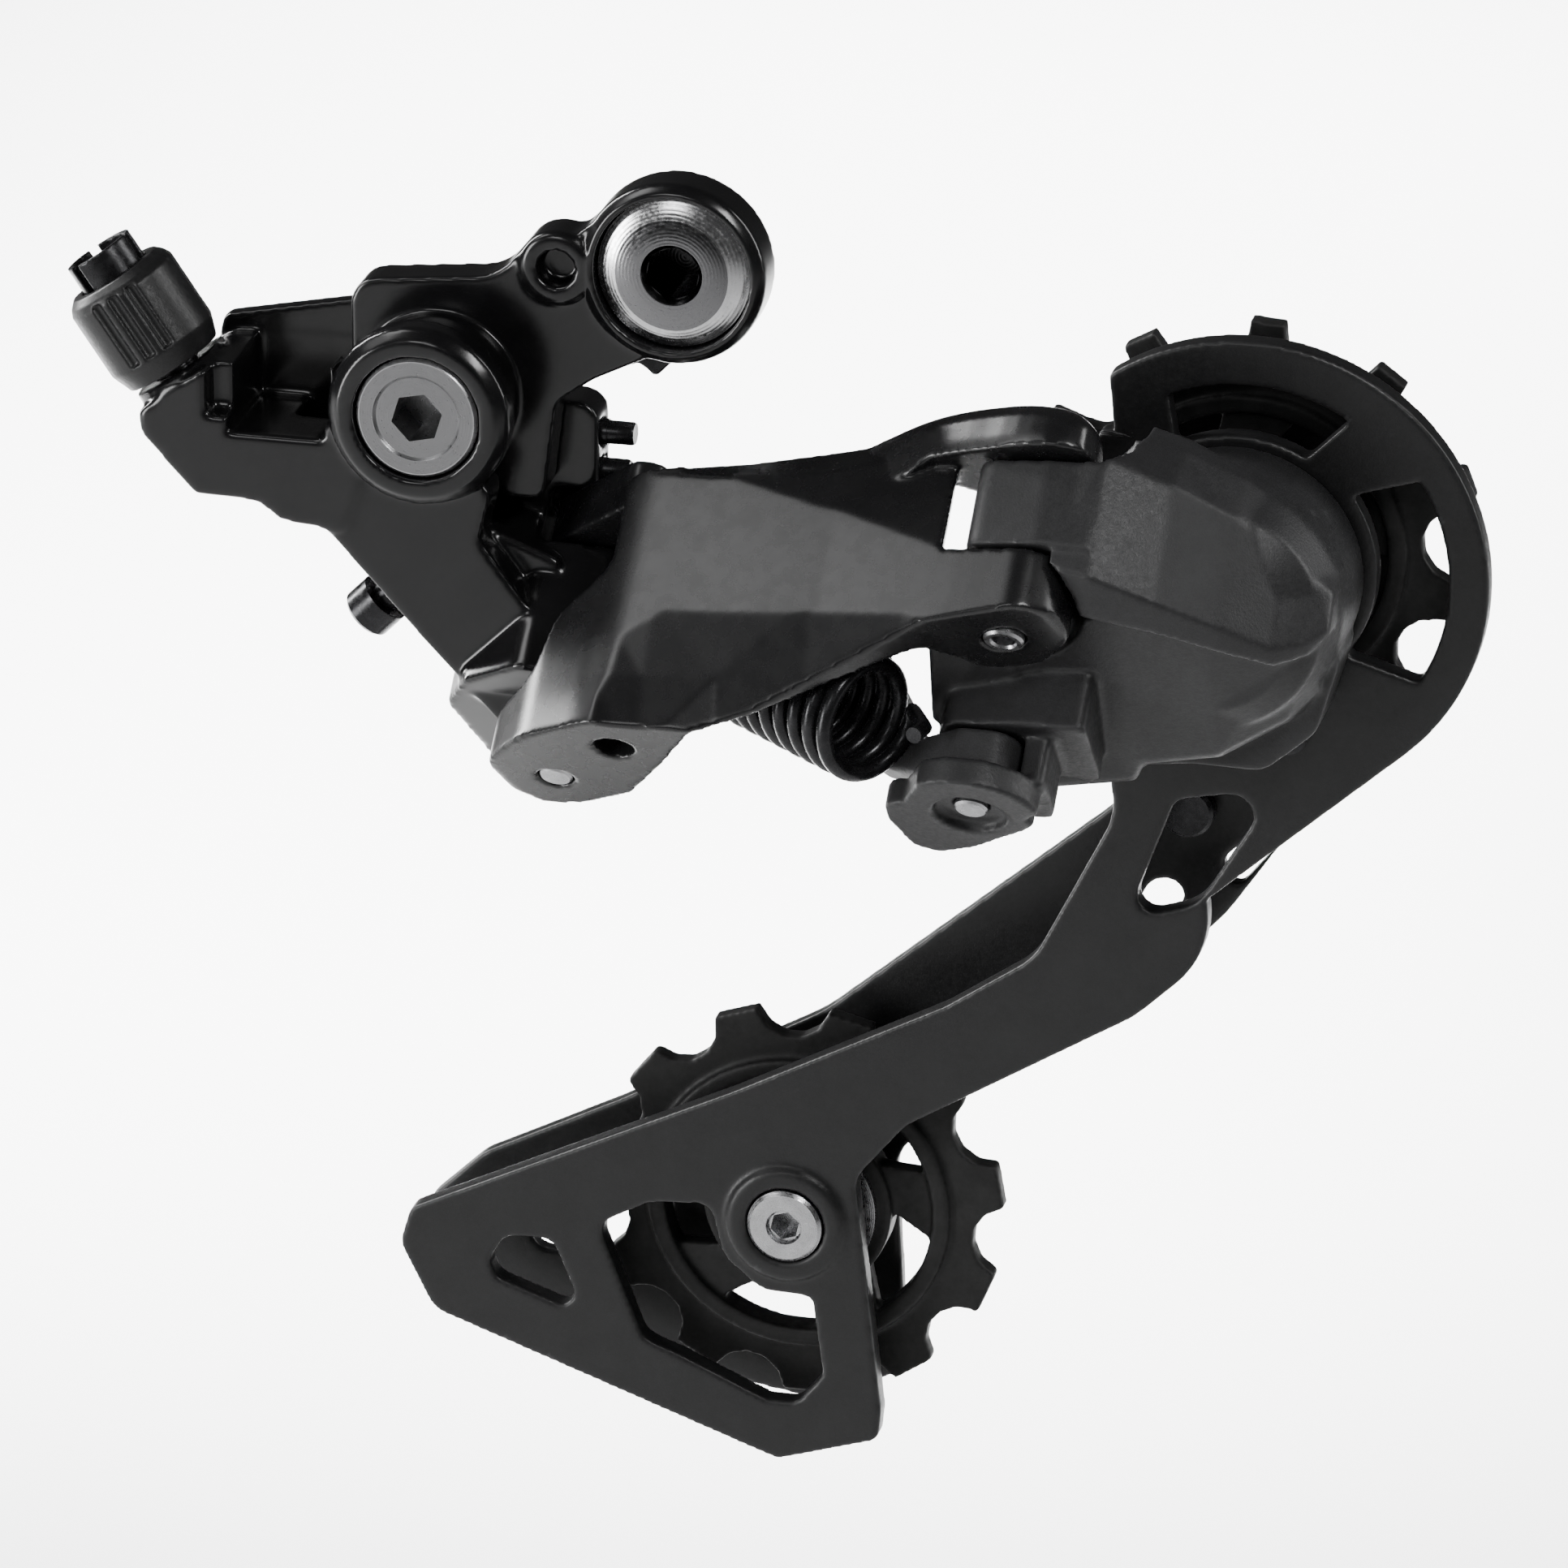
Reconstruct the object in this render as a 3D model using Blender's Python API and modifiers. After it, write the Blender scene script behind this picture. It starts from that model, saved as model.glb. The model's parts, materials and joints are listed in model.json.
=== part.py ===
"""Rear bicycle derailleur, built as separate pieces around one shared frame.

Frame: the origin is on the mounting bolt's axis, in the plane that seats on the
frame's hanger.  +X points to the front of the bicycle, +Y inboard towards the
wheel, +Z up.  Every design figure below is in millimetres.
"""

import math

import bmesh
import bpy
from mathutils import Matrix, Vector

MM = 0.001

# ---------------------------------------------------------------- driving sizes
CHAIN_PITCH = 12.7
PULLEY_TEETH = 11
ROLLER_R = 3.95
PITCH_R = CHAIN_PITCH / (2 * math.sin(math.pi / PULLEY_TEETH))

B_AXIS = (-26.2, -15.4)  # X, Z of the B pivot
P_AXIS = (60.8, -31.7)  # X, Z of the cage pivot and of the guide pulley
T_AXIS = (10.3, -115.8)  # X, Z of the tension pulley
PULLEY_Y = 10.4  # mid plane of both pulleys
LINK_LENGTH = 53.4  # between the two pins of a link
LINK_REST_DEG = -19.7  # the links rest this far outboard
PIN_SLANT = 48.0  # lean of the four link pins from vertical, to inboard
PIN_GAP = 15.0  # outer pin to inner pin, across the linkage
PIN_SHIFT = -3.5  # the inner pins sit this far behind the outer ones

GAP = 0.3
S = math.sin(math.radians(PIN_SLANT))
C = math.cos(math.radians(PIN_SLANT))
E1 = Vector((1, 0, 0))
E2 = Vector((0, C, -S))
AX = Vector((0, S, C))
P_OUT = Vector((41.3, -24.9, -30.0))  # outer pin at the P end, height 0 on AX
TH = math.radians(LINK_REST_DEG)
SX = E1 * math.cos(TH) + E2 * math.sin(TH)  # along a link, B end to P end
TY = -E1 * math.sin(TH) + E2 * math.cos(TH)  # across a link, to inboard
B_OUT = P_OUT - SX * LINK_LENGTH
ACROSS = E1 * PIN_SHIFT + E2 * PIN_GAP
P_IN = P_OUT + ACROSS
B_IN = B_OUT + ACROSS

# ---------------------------------------------------------------- scene set-up
for old in list(bpy.data.objects):
    bpy.data.objects.remove(old, do_unlink=True)
PARTS = bpy.data.collections.new("rear_derailleur")
bpy.context.scene.collection.children.link(PARTS)
TOOLS = bpy.data.collections.new("cutters")
bpy.context.scene.collection.children.link(TOOLS)


def material(name, colour, rough, metal=0.0):
    mat = bpy.data.materials.new(name)
    mat.use_nodes = True
    shader = mat.node_tree.nodes["Principled BSDF"]
    shader.inputs["Base Color"].default_value = (*colour, 1)
    shader.inputs["Roughness"].default_value = rough
    shader.inputs["Metallic"].default_value = metal
    return mat


GLOSS = ((0.012, 0.012, 0.013), 0.22, 0.0)
CAST = ((0.045, 0.045, 0.048), 0.55, 0.3)
SATIN = ((0.02, 0.02, 0.022), 0.42, 0.2)
RESIN = ((0.018, 0.018, 0.018), 0.6, 0.0)
SILVER = ((0.55, 0.55, 0.56), 0.3, 1.0)
STEEL = ((0.35, 0.35, 0.36), 0.35, 1.0)
BLACK_STEEL = ((0.03, 0.03, 0.032), 0.35, 0.8)
RUBBER = ((0.02, 0.02, 0.02), 0.8, 0.0)
BRASS = ((0.5, 0.36, 0.14), 0.35, 1.0)


# ---------------------------------------------------------------- frames
def frame(origin, x_axis, y_axis):
    """A matrix in millimetres whose X and Y run along the two directions."""
    x = Vector(x_axis).normalized()
    y = Vector(y_axis)
    y = (y - x * x.dot(y)).normalized()
    z = x.cross(y)
    m = Matrix((x, y, z)).transposed().to_4x4()
    m.translation = Vector(origin)
    return m


def side(x, z, y=0.0):
    """Flat outlines in X and Z, with the depth running outboard (-Y)."""
    return frame((x, y, z), (1, 0, 0), (0, 0, 1))


def along(origin, axis):
    """A frame whose Z is the axis."""
    z = Vector(axis).normalized()
    x = Vector((1, 0, 0)) if abs(z.x) < 0.8 else Vector((0, 1, 0))
    x = (x - z * z.dot(x)).normalized()
    return frame(origin, x, z.cross(x))


LINK = frame(B_OUT, SX, TY)  # s along, t across, w up the pins
PINS_P = frame(P_OUT, E1, E2)
PINS_B = frame(B_OUT, E1, E2)


# ---------------------------------------------------------------- solids
def finish(name, mesh, where=None):
    """A bare object holding this mesh in world millimetres."""
    bm = bmesh.new()
    bm.from_mesh(mesh)
    bmesh.ops.remove_doubles(bm, verts=bm.verts, dist=1e-4)
    bmesh.ops.dissolve_degenerate(bm, edges=bm.edges, dist=1e-5)
    if where is not None:
        bmesh.ops.transform(bm, matrix=where, verts=bm.verts)
    bmesh.ops.recalc_face_normals(bm, faces=bm.faces)
    bm.to_mesh(mesh)
    bm.free()
    obj = bpy.data.objects.new(name, mesh)
    TOOLS.objects.link(obj)
    return obj


def evaluated_mesh(obj):
    bpy.context.view_layer.update()
    graph = bpy.context.evaluated_depsgraph_get()
    return bpy.data.meshes.new_from_object(obj.evaluated_get(graph))


def fillet(points, steps=2):
    """Corners given as (x, y) or (x, y, radius), rounded with short arcs."""
    out = []
    count = len(points)
    for i, p in enumerate(points):
        here = Vector(p[:2])
        radius = p[2] if len(p) > 2 else 0.0
        if radius <= 0:
            out.append(tuple(here))
            continue
        a = Vector(points[i - 1][:2]) - here
        b = Vector(points[(i + 1) % count][:2]) - here
        la, lb = a.length, b.length
        a.normalize()
        b.normalize()
        half = math.acos(max(-1, min(1, a.dot(b)))) / 2
        if half > math.pi / 2 - 0.03:
            out.append(tuple(here))
            continue
        run = min(radius / math.tan(half), la * 0.49, lb * 0.49)
        r = run * math.tan(half)
        centre = here + (a + b).normalized() * (r / math.sin(half))
        start = here + a * run - centre
        turn = math.pi - 2 * half
        if a.x * b.y - a.y * b.x > 0:
            turn = -turn
        for k in range(steps + 1):
            t = turn * k / steps
            out.append(
                (
                    centre.x + start.x * math.cos(t) - start.y * math.sin(t),
                    centre.y + start.x * math.sin(t) + start.y * math.cos(t),
                )
            )
    return out


def ring(x, y, r, n=24, phase=0.0):
    return [
        (
            x + r * math.cos(phase + 2 * math.pi * k / n),
            y + r * math.sin(phase + 2 * math.pi * k / n),
        )
        for k in range(n)
    ]


def arc(x, y, r, a0, a1, n):
    return [
        (
            x + r * math.cos(math.radians(a0 + (a1 - a0) * k / n)),
            y + r * math.sin(math.radians(a0 + (a1 - a0) * k / n)),
        )
        for k in range(n + 1)
    ]


def slab(name, outlines, z0, z1, where):
    """A flat outline with holes, extruded from z0 to z1 of its frame."""
    curve = bpy.data.curves.new(name, "CURVE")
    curve.dimensions = "2D"
    curve.fill_mode = "BOTH"
    curve.extrude = (z1 - z0) / 2
    for outline in outlines:
        spline = curve.splines.new("POLY")
        spline.points.add(len(outline) - 1)
        for point, (x, y) in zip(spline.points, outline):
            point.co = (x, y, 0, 1)
        spline.use_cyclic_u = True
    tmp = bpy.data.objects.new(name + "_outline", curve)
    TOOLS.objects.link(tmp)
    mesh = evaluated_mesh(tmp)
    bpy.data.objects.remove(tmp)
    return finish(
        name, mesh, where @ Matrix.Translation((0, 0, (z0 + z1) / 2))
    )


def turned(name, profile, where, steps=24):
    """A profile of (radius, height), top to bottom down the outer side."""
    mesh = bpy.data.meshes.new(name)
    closed = profile[0][0] > 1e-6
    verts = [(r, 0, h) for r, h in profile]
    edges = [(k, k + 1) for k in range(len(verts) - 1)]
    if closed:
        edges.append((len(verts) - 1, 0))
    mesh.from_pydata(verts, edges, [])
    tmp = bpy.data.objects.new(name + "_profile", mesh)
    TOOLS.objects.link(tmp)
    screw = tmp.modifiers.new("turn", "SCREW")
    screw.steps = screw.render_steps = steps
    screw.use_merge_vertices = True
    screw.merge_threshold = 0.0001
    out = evaluated_mesh(tmp)
    bpy.data.objects.remove(tmp)
    return finish(name, out, where)


def rod(name, r, h0, h1, where, steps=20, edge=0.0):
    if edge > 0:
        prof = [(0, h1), (r - edge, h1), (r, h1 - edge), (r, h0 + edge)]
        prof += [(r - edge, h0), (0, h0)]
    else:
        prof = [(0, h1), (r, h1), (r, h0), (0, h0)]
    return turned(name, prof, where, steps)


def tube(name, r_out, r_in, h0, h1, where, steps=24):
    return turned(
        name, [(r_out, h1), (r_out, h0), (r_in, h0), (r_in, h1)], where, steps
    )


def block(name, lo, hi, where=None):
    bm = bmesh.new()
    bmesh.ops.create_cube(bm, size=1.0)
    for v in bm.verts:
        v.co = Vector(
            [lo[i] + (v.co[i] + 0.5) * (hi[i] - lo[i]) for i in range(3)]
        )
    mesh = bpy.data.meshes.new(name)
    bm.to_mesh(mesh)
    bm.free()
    return finish(name, mesh, where)


def hexagon(across_flats, phase=0.0):
    return ring(0, 0, across_flats / math.sqrt(3), 6, phase)


def wire(name, points, radius, where=None, sides=1):
    """Round wire with filled ends along these points."""
    curve = bpy.data.curves.new(name, "CURVE")
    curve.dimensions = "3D"
    curve.bevel_depth = radius
    curve.bevel_resolution = sides
    curve.use_fill_caps = True
    spline = curve.splines.new("POLY")
    spline.points.add(len(points) - 1)
    for point, co in zip(spline.points, points):
        point.co = (*co, 1)
    tmp = bpy.data.objects.new(name + "_path", curve)
    TOOLS.objects.link(tmp)
    mesh = evaluated_mesh(tmp)
    bpy.data.objects.remove(tmp)
    return finish(name, mesh, where)


def helix(r, h0, h1, turns, per_turn=14, start=0.0):
    n = int(turns * per_turn)
    return [
        (
            r * math.cos(start + 2 * math.pi * turns * k / n),
            r * math.sin(start + 2 * math.pi * turns * k / n),
            h0 + (h1 - h0) * k / n,
        )
        for k in range(n + 1)
    ]


def loft(name, sections, where=None):
    """Skins closed sections of equal point count, with flat ends."""
    bm = bmesh.new()
    rows = [[bm.verts.new(p) for p in sec] for sec in sections]
    n = len(rows[0])
    for a, b in zip(rows, rows[1:]):
        for k in range(n):
            bm.faces.new((a[k], a[(k + 1) % n], b[(k + 1) % n], b[k]))
    bm.faces.new(rows[0])
    bm.faces.new(rows[-1])
    bmesh.ops.triangulate(bm, faces=bm.faces)
    mesh = bpy.data.meshes.new(name)
    bm.to_mesh(mesh)
    bm.free()
    return finish(name, mesh, where)


def volume(mesh):
    bm = bmesh.new()
    bm.from_mesh(mesh)
    out = bm.calc_volume(signed=True)
    bm.free()
    return out


def combine(base, others, operation):
    for other in others:
        before = volume(base.data)
        for solver in ("EXACT", "MANIFOLD"):
            mod = base.modifiers.new("step", "BOOLEAN")
            mod.operation = operation
            mod.solver = solver
            mod.object = other
            mesh = evaluated_mesh(base)
            base.modifiers.clear()
            after = volume(mesh)
            if after > (0.2 if operation == "DIFFERENCE" else 0.99) * before:
                break
        base.data = mesh
        bpy.data.objects.remove(other)
        tidy(base)
    return base


def open_edges(bm):
    return sum(1 for e in bm.edges if len(e.link_faces) != 2)


def tidy(base):
    """Merges the slivers a Boolean leaves, as far as the skin stays closed."""
    for merge, flat in ((2e-3, True), (2e-3, False), (2e-4, True), (2e-4, False)):
        bm = bmesh.new()
        bm.from_mesh(base.data)
        bmesh.ops.remove_doubles(bm, verts=bm.verts, dist=merge)
        bmesh.ops.dissolve_degenerate(bm, edges=bm.edges, dist=merge)
        if flat:
            bmesh.ops.dissolve_limit(
                bm,
                angle_limit=math.radians(0.4),
                verts=bm.verts,
                edges=bm.edges,
            )
        bmesh.ops.triangulate(bm, faces=bm.faces)
        bad = open_edges(bm)
        if bad == 0:
            bm.to_mesh(base.data)
            bm.free()
            return
        bm.free()


def join(base, *others):
    return combine(base, others, "UNION")


def cut(base, *others):
    return combine(base, others, "DIFFERENCE")


def part(obj, look, smooth=True):
    """Puts a finished solid, in metres, into the derailleur's collection."""
    name = obj.name
    bm = bmesh.new()
    bm.from_mesh(obj.data)
    bmesh.ops.scale(bm, vec=(MM, MM, MM), verts=bm.verts)
    bmesh.ops.recalc_face_normals(bm, faces=bm.faces)
    if bm.calc_volume(signed=True) < 0:
        bmesh.ops.reverse_faces(bm, faces=bm.faces)
    bm.to_mesh(obj.data)
    bm.free()
    TOOLS.objects.unlink(obj)
    PARTS.objects.link(obj)
    obj.data.materials.clear()
    obj.data.materials.append(material("mat_" + name, *look))
    if smooth:
        obj.data.polygons.foreach_set("use_smooth", [True] * len(obj.data.polygons))
        obj.data.set_sharp_from_angle(angle=math.radians(32))
    return obj


def origin_at(obj, point):
    """Moves the object's own origin onto this point of its joint axis."""
    shift = Vector(point) * MM
    obj.data.transform(Matrix.Translation(-shift))
    obj.matrix_world = Matrix.Translation(shift)
    return obj


# ================================================================ bracket
SEAT = -1.5  # rear face of the bracket link, ahead of the stopper plate
ARM_FRONT = -6.5
MOUNT_BORE_R = 5.1
arm = slab(
    "bracket_link",
    [
        fillet(
            [
                (-36.2, -17, 3),
                (-36.2, -3.6, 3.2),
                (-19.5, -1.9, 6),
                (-15.5, 3.2, 3),
                (-10.5, 3.6, 3),
                (-6.5, 7.6, 2),
                (2, 8, 2),
                (5, -6, 2),
                (-2, -9.5, 2),
                (-9, -13.0, 2.5),
                (-13.2, -16, 2.5),
                (-14.6, -27.2, 1.5),
                (-19, -27.6, 2),
                (-21, -24.5, 2),
                (-28, -25.8, 5),
            ]
        )
    ],
    -SEAT,
    -ARM_FRONT,
    side(0, 0),
)
boss = turned(
    "boss",
    [(0, 7.3), (9.3, 7.3), (10.3, 6.4), (10.3, 1.5), (0, 1.5)],
    side(0, 0),
    36,
)
barrel = rod("barrel", 8.8, 4.0, 12.0, side(*B_AXIS), 36, 0.4)
bump = rod("bump", 4.2, 1.5, 7.2, side(-12.9, -0.3), 24, 0.5)
bracket = join(arm, boss, barrel, bump)
bracket = cut(
    bracket,
    rod("c1", MOUNT_BORE_R, 0, 12, side(0, 0), 28),
    rod("c2", 8.75, 4.6, 12, side(0, 0), 28),
    rod("c3", 2.1, 4.5, 12, side(-12.9, -0.3), 20),
    rod("c4", 3.05, 0, 20, side(*B_AXIS), 24),
    rod("c5", 7.0, 6.0, 20, side(*B_AXIS), 32),
)
part(bracket, GLOSS)

mount = turned(
    "mount_bolt",
    [
        (0, 6.9),
        (6.35, 6.9),
        (8.5, 5.7),
        (8.5, 4.9),
        (5.0, 4.9),
        (5.0, -9.0),
        (4.2, -10.0),
        (0, -10.0),
    ],
    side(0, 0),
    36,
)
mount = cut(
    mount,
    slab("hex", [hexagon(5.6, 0.35)], 0.5, 9, side(0, 0)),
    turned("mouth", [(0, 8.0), (4.3, 8.0), (2.9, 6.2), (0, 6.2)], side(0, 0), 32),
)
origin_at(part(mount, SILVER), (0, 0, 0))

stopper = slab(
    "stopper_plate",
    [
        fillet(
            [
                (-9.6, 2.5, 3),
                (-4, 8.5, 5),
                (4.5, 8.5, 5),
                (9, 3, 4),
                (9, -5, 4),
                (3, -11.0, 3),
                (-1.5, -12.2, 0.6),
                (-3.2, -14.0, 0.6),
                (-5.0, -12.6, 0.6),
                (-10.6, -13.6, 1.5),
                (-11.5, -9, 2),
            ]
        ),
        ring(0, 0, 7.2, 32),
    ],
    0.0,
    1.2,
    side(0, 0),
)
tooth = slab(
    "tooth",
    [[(-4.8, -13.4), (-1.6, -12.2), (-1.2, -11.0), (-4.8, -11.6)]],
    -3.2,
    0.6,
    side(0, 0),
)
part(join(stopper, tooth), BLACK_STEEL)

clip = slab(
    "bolt_retaining_ring",
    [
        arc(0, 0, 6.9, -60, 240, 14)
        + arc(0, 0, 5.35, 240, -60, 14)
    ],
    0.15,
    1.05,
    side(0, 0),
)
part(clip, BLACK_STEEL)

# ================================================================ B pivot
B_FRONT = 16.6  # how far outboard the ring boss stands
SWEEP_R = 16.8  # the bracket's arm passes inside this as the B pivot turns
axle = turned(
    "b_axle_bolt",
    [
        (0, 16.0),
        (4.6, 16.0),
        (4.9, 16.25),
        (6.5, 16.25),
        (6.85, 15.9),
        (6.85, 13.7),
        (3.9, 13.7),
        (3.9, 12.3),
        (2.95, 12.3),
        (2.95, 2.2),
        (0, 2.2),
    ],
    side(*B_AXIS),
    32,
)
axle = cut(axle, slab("hex", [hexagon(5.05, 0.22)], 11.0, 18, side(*B_AXIS)))
part(axle, SILVER)

bush = turned(
    "b_bushing",
    [(4.75, 13.4), (4.75, 12.4), (4.0, 12.4), (4.0, 13.4)],
    side(*B_AXIS),
    20,
)
part(bush, BRASS)

seal = tube("b_seal_ring", 8.7, 7.9, 12.1, 12.4, side(*B_AXIS), 24)
part(seal, RUBBER)

b_spring = wire(
    "b_pivot_spring",
    helix(5.6, 7.0, 11.2, 2.5, 14),
    0.75,
    side(*B_AXIS),
)
part(b_spring, BLACK_STEEL)

# ================================================================ B body
b_ring = turned(
    "b_body",
    [(0, B_FRONT), (8.9, B_FRONT), (10.2, 15.5), (10.2, 12.6), (0, 12.6)],
    side(*B_AXIS),
    32,
)
leg = slab(
    "leg",
    [
        fillet(
            [
                (-37.0, -14.5, 3),
                (-37.6, -29.8, 2),
                (-27.0, -41.4),
                (-17.0, -52.0, 2.5),
                (-8.5, -49.5, 3),
                (-10.5, -42.0, 3),
                (-15.1, -36.5, 3),
                (-20.0, -30.0, 2),
                (-18.5, -24.0, 2),
            ]
        )
    ],
    8.6,
    13.9,
    side(0, 0),
)
left_arm = slab(
    "left_arm",
    [
        fillet(
            [
                (-58.4, -18.2, 1.2),
                (-58.0, -20.6, 2),
                (-52.0, -27.2, 1.5),
                (-45.0, -27.4, 2),
                (-42.2, -29.4, 2),
                (-35.2, -30.2, 1),
                (-33.0, -24, 1),
                (-36.9, -12, 1),
                (-51.0, -12.6, 3),
                (-54, -14.6, 2),
            ]
        )
    ],
    -0.8,
    14.4,
    side(0, 0),
)
rear_wall = slab(
    "rear_wall",
    [
        fillet(
            [
                (-53.4, -20, 1),
                (-52.4, -10.9, 1.5),
                (-37.0, -7.8, 1),
                (-22.0, -6.6, 2),
                (-20.0, -20, 1),
                (-36.9, -29, 1),
                (-46, -26, 1),
            ]
        )
    ],
    -1.0,
    1.15,
    side(0, 0),
)
# block that carries both pins of the B end, leaned with them
hub = slab(
    "hub",
    [
        fillet(
            [
                (-12.2, 20.5, 3),
                (-15.5, 6.0, 2),
                (-14.5, -6.2, 2),
                (-4.0, -6.2, 3),
                (5.6, -3.5, 4),
                (5.2, 5.2, 3),
                (1.5, 12.0, 2),
                (1.5, 20.5, 4),
            ]
        )
    ],
    -3.7,
    12.2,
    PINS_B,
)
hub_top = slab(
    "hub_top",
    [
        fillet(
            [
                (-14.5, 20.5, 3),
                (-15.5, 2.0, 2),
                (-8.4, 2.0, 2),
                (-8.4, 9.4, 2),
                (1.5, 10.0, 3),
                (1.5, 20.5, 4),
            ]
        )
    ],
    11.8,
    27.5,
    PINS_B,
)
lug = slab(
    "lug",
    [
        fillet(
            [
                (-36.5, -24.5, 1),
                (-30.0, -17.5, 1),
                (-9.8, -17.6, 2.5),
                (-9.8, -28.0, 2),
                (-14, -38.0, 2),
                (-25, -38.0, 1),
            ]
        )
    ],
    -4.0,
    1.2,
    side(0, 0),
)
bridge = slab(
    "bridge",
    [
        fillet(
            [
                (-38.0, -27.4, 1),
                (-24.0, -28.3, 1),
                (-12.0, -33.0, 1),
                (-12.0, -42.0, 2),
                (-19.0, -46.0, 2),
                (-27.0, -40.6, 1),
                (-37.6, -29.5, 1),
            ]
        )
    ],
    -3.5,
    10.0,
    side(0, 0),
)
ADJ = Vector((-54.6, -8.7, -15.8))  # where the adjuster's collar seats
ADJ_DIR = Vector((-0.562, 0.0, 0.827))
adj_frame = along(ADJ, ADJ_DIR)
socket = rod("socket", 5.3, -5.0, 1.4, adj_frame, 28)
b_body = join(b_ring, leg, left_arm, rear_wall, bridge, hub, hub_top, lug, socket)
# the outer link's lobe sweeps below this line; the limit screws run along X
SCREW_Z = -21.8
b_body = cut(
    b_body,
    rod("c1", 7.1, 13.5, 20, side(*B_AXIS), 32),
    rod("c2", 4.8, 11.8, 20, side(*B_AXIS), 32),
    rod("c3", 10.6, 1.25, 12.6, side(*B_AXIS), 32),
    rod("c11", SWEEP_R, 1.25, 6.95, side(*B_AXIS), 40),
    block("pocket", (-48.2, -30, -19.6), (-37.2, -1.2, 0)),
    block("pocket2", (-50.5, -16, -17.9), (-36.5, -11.6, 0)),
    rod("c4", 2.55, -30, 5, adj_frame, 20),
    rod("c5", 1.9, -30, 40, along(B_OUT, AX), 20),
    rod("c6", 1.9, -30, 60, along(B_IN, AX), 20),
    slab(
        "slot",
        [[(-10.0, 6), (-10.0, 30), (30, 30), (30, 6)]],
        12.2,
        23.8,
        PINS_B,
    ),
    rod("c7", 1.55, -60, 0, along((0, 1.4, SCREW_Z), (1, 0, 0)), 16),
    rod("c8", 1.55, -60, 0, along((0, 1.4, SCREW_Z - 4.4), (1, 0, 0)), 16),
    rod("c10", 6.9, 12.4, 19.2, along(B_OUT, AX), 28),
    rod("c12", 7.5, -16, -3.75, along(B_OUT, AX), 28),
    rod("c9", 1.9, -30, 30, along((-29.5, -5.0, -37.3), (0.70, 0, 0.71)), 16),
)
origin_at(part(b_body, GLOSS), (B_AXIS[0], 0, B_AXIS[1]))

# ================================================================ adjusters
knob = turned(
    "barrel_knob",
    [(5.3, 13.8), (6.1, 13.0), (6.5, 12.2), (6.5, 4.4), (5.6, 2.0), (2.8, 2.0)]
    + [(2.8, 6.2), (4.15, 6.2), (4.15, 13.8)],
    adj_frame,
    28,
)
grooves = [
    rod(
        "g%d" % k,
        0.7,
        4.6,
        12.6,
        adj_frame
        @ Matrix.Translation(
            (
                6.6 * math.cos(math.radians(a)),
                6.6 * math.sin(math.radians(a)),
                0,
            )
        ),
        8,
    )
    for k, a in enumerate((20, 40, 60, 140, 160, 180, 260, 280, 300))
]
origin_at(part(cut(knob, *grooves), SATIN), ADJ)

adj_screw = turned(
    "barrel_screw",
    [(3.95, 17.0), (3.95, 6.5), (2.5, 6.5), (2.5, -7.5), (1.2, -7.5), (1.2, 7.6)]
    + [(3.2, 7.6), (3.2, 17.0)],
    adj_frame,
    24,
)
slots = [
    block(
        "s%d" % k,
        (-0.55, 0, 13.4),
        (0.55, 6, 20),
        adj_frame @ Matrix.Rotation(math.radians(a), 4, "Z"),
    )
    for k, a in enumerate((30, 150, 270))
]
origin_at(part(cut(adj_screw, *slots), BLACK_STEEL), ADJ)

b_screw_frame = along((-29.5, -5.0, -37.3), (-0.70, 0, -0.71))
tension_screw = turned(
    "b_tension_screw",
    [(0, 8.6), (2.6, 8.6), (3.0, 8.2), (3.0, 5.2), (1.8, 5.2), (1.8, -10.0)]
    + [(1.2, -11.0), (0, -11.0)],
    b_screw_frame,
    24,
)
tension_screw = cut(
    tension_screw, slab("hex", [hexagon(3.0)], 6.4, 9.5, b_screw_frame)
)
origin_at(part(tension_screw, BLACK_STEEL), (-29.5, -5.0, -37.3))

for label, y, z, tip in (
    ("low_limit_screw", 1.4, SCREW_Z, -6.2),
    ("high_limit_screw", 1.4, SCREW_Z - 4.4, -6.8),
):
    f = along((0, y, z), (1, 0, 0))
    screw = turned(
        label,
        [(0, tip), (1.15, tip), (1.3, tip - 0.3), (1.3, tip - 3), (1.45, tip - 3)]
        + [(1.45, -38.6), (0, -38.6)],
        f,
        16,
    )
    screw = cut(screw, block("drive", (-3, -0.3, -40), (3, 0.3, -37.6), f))
    origin_at(part(screw, BLACK_STEEL), (0, y, z))

# ================================================================ outer link
# outline seen square to its outboard face: s along the link, w up the pins
face = frame(B_OUT, SX, AX)  # x = s, y = w, z = outboard
outer_side = [
    (9.6, 16.2, 2),
    (22, 17.6, 8),
    (32, 20.0, 10),
    (42, 21.4, 10),
    (49, 21.0, 3),
    (58.0, 18.4, 1),
    (61.0, -0.4, 1.5),
    (47, -2.6, 6),
    (36, -7.8, 8),
    (28, -11.8, 6),
    (21, -14.3, 4),
    (-8.0, -14.3, 2),
    (-7.6, -9.4, 3),
    (0.6, -6.6, 4),
    (3.0, 0.4, 4),
    (9.6, 5.0, 3),
]
# the same face, its depth leaning towards the bracket as it goes inboard
FLARE = face @ Matrix(
    ((1, 0, 0.60, -4.3), (0, 1, 0, 0), (0, 0, 1, 0), (0, 0, 0, 1))
)
shell = slab("outer_link", [fillet(outer_side)], -12, 14, face)
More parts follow.
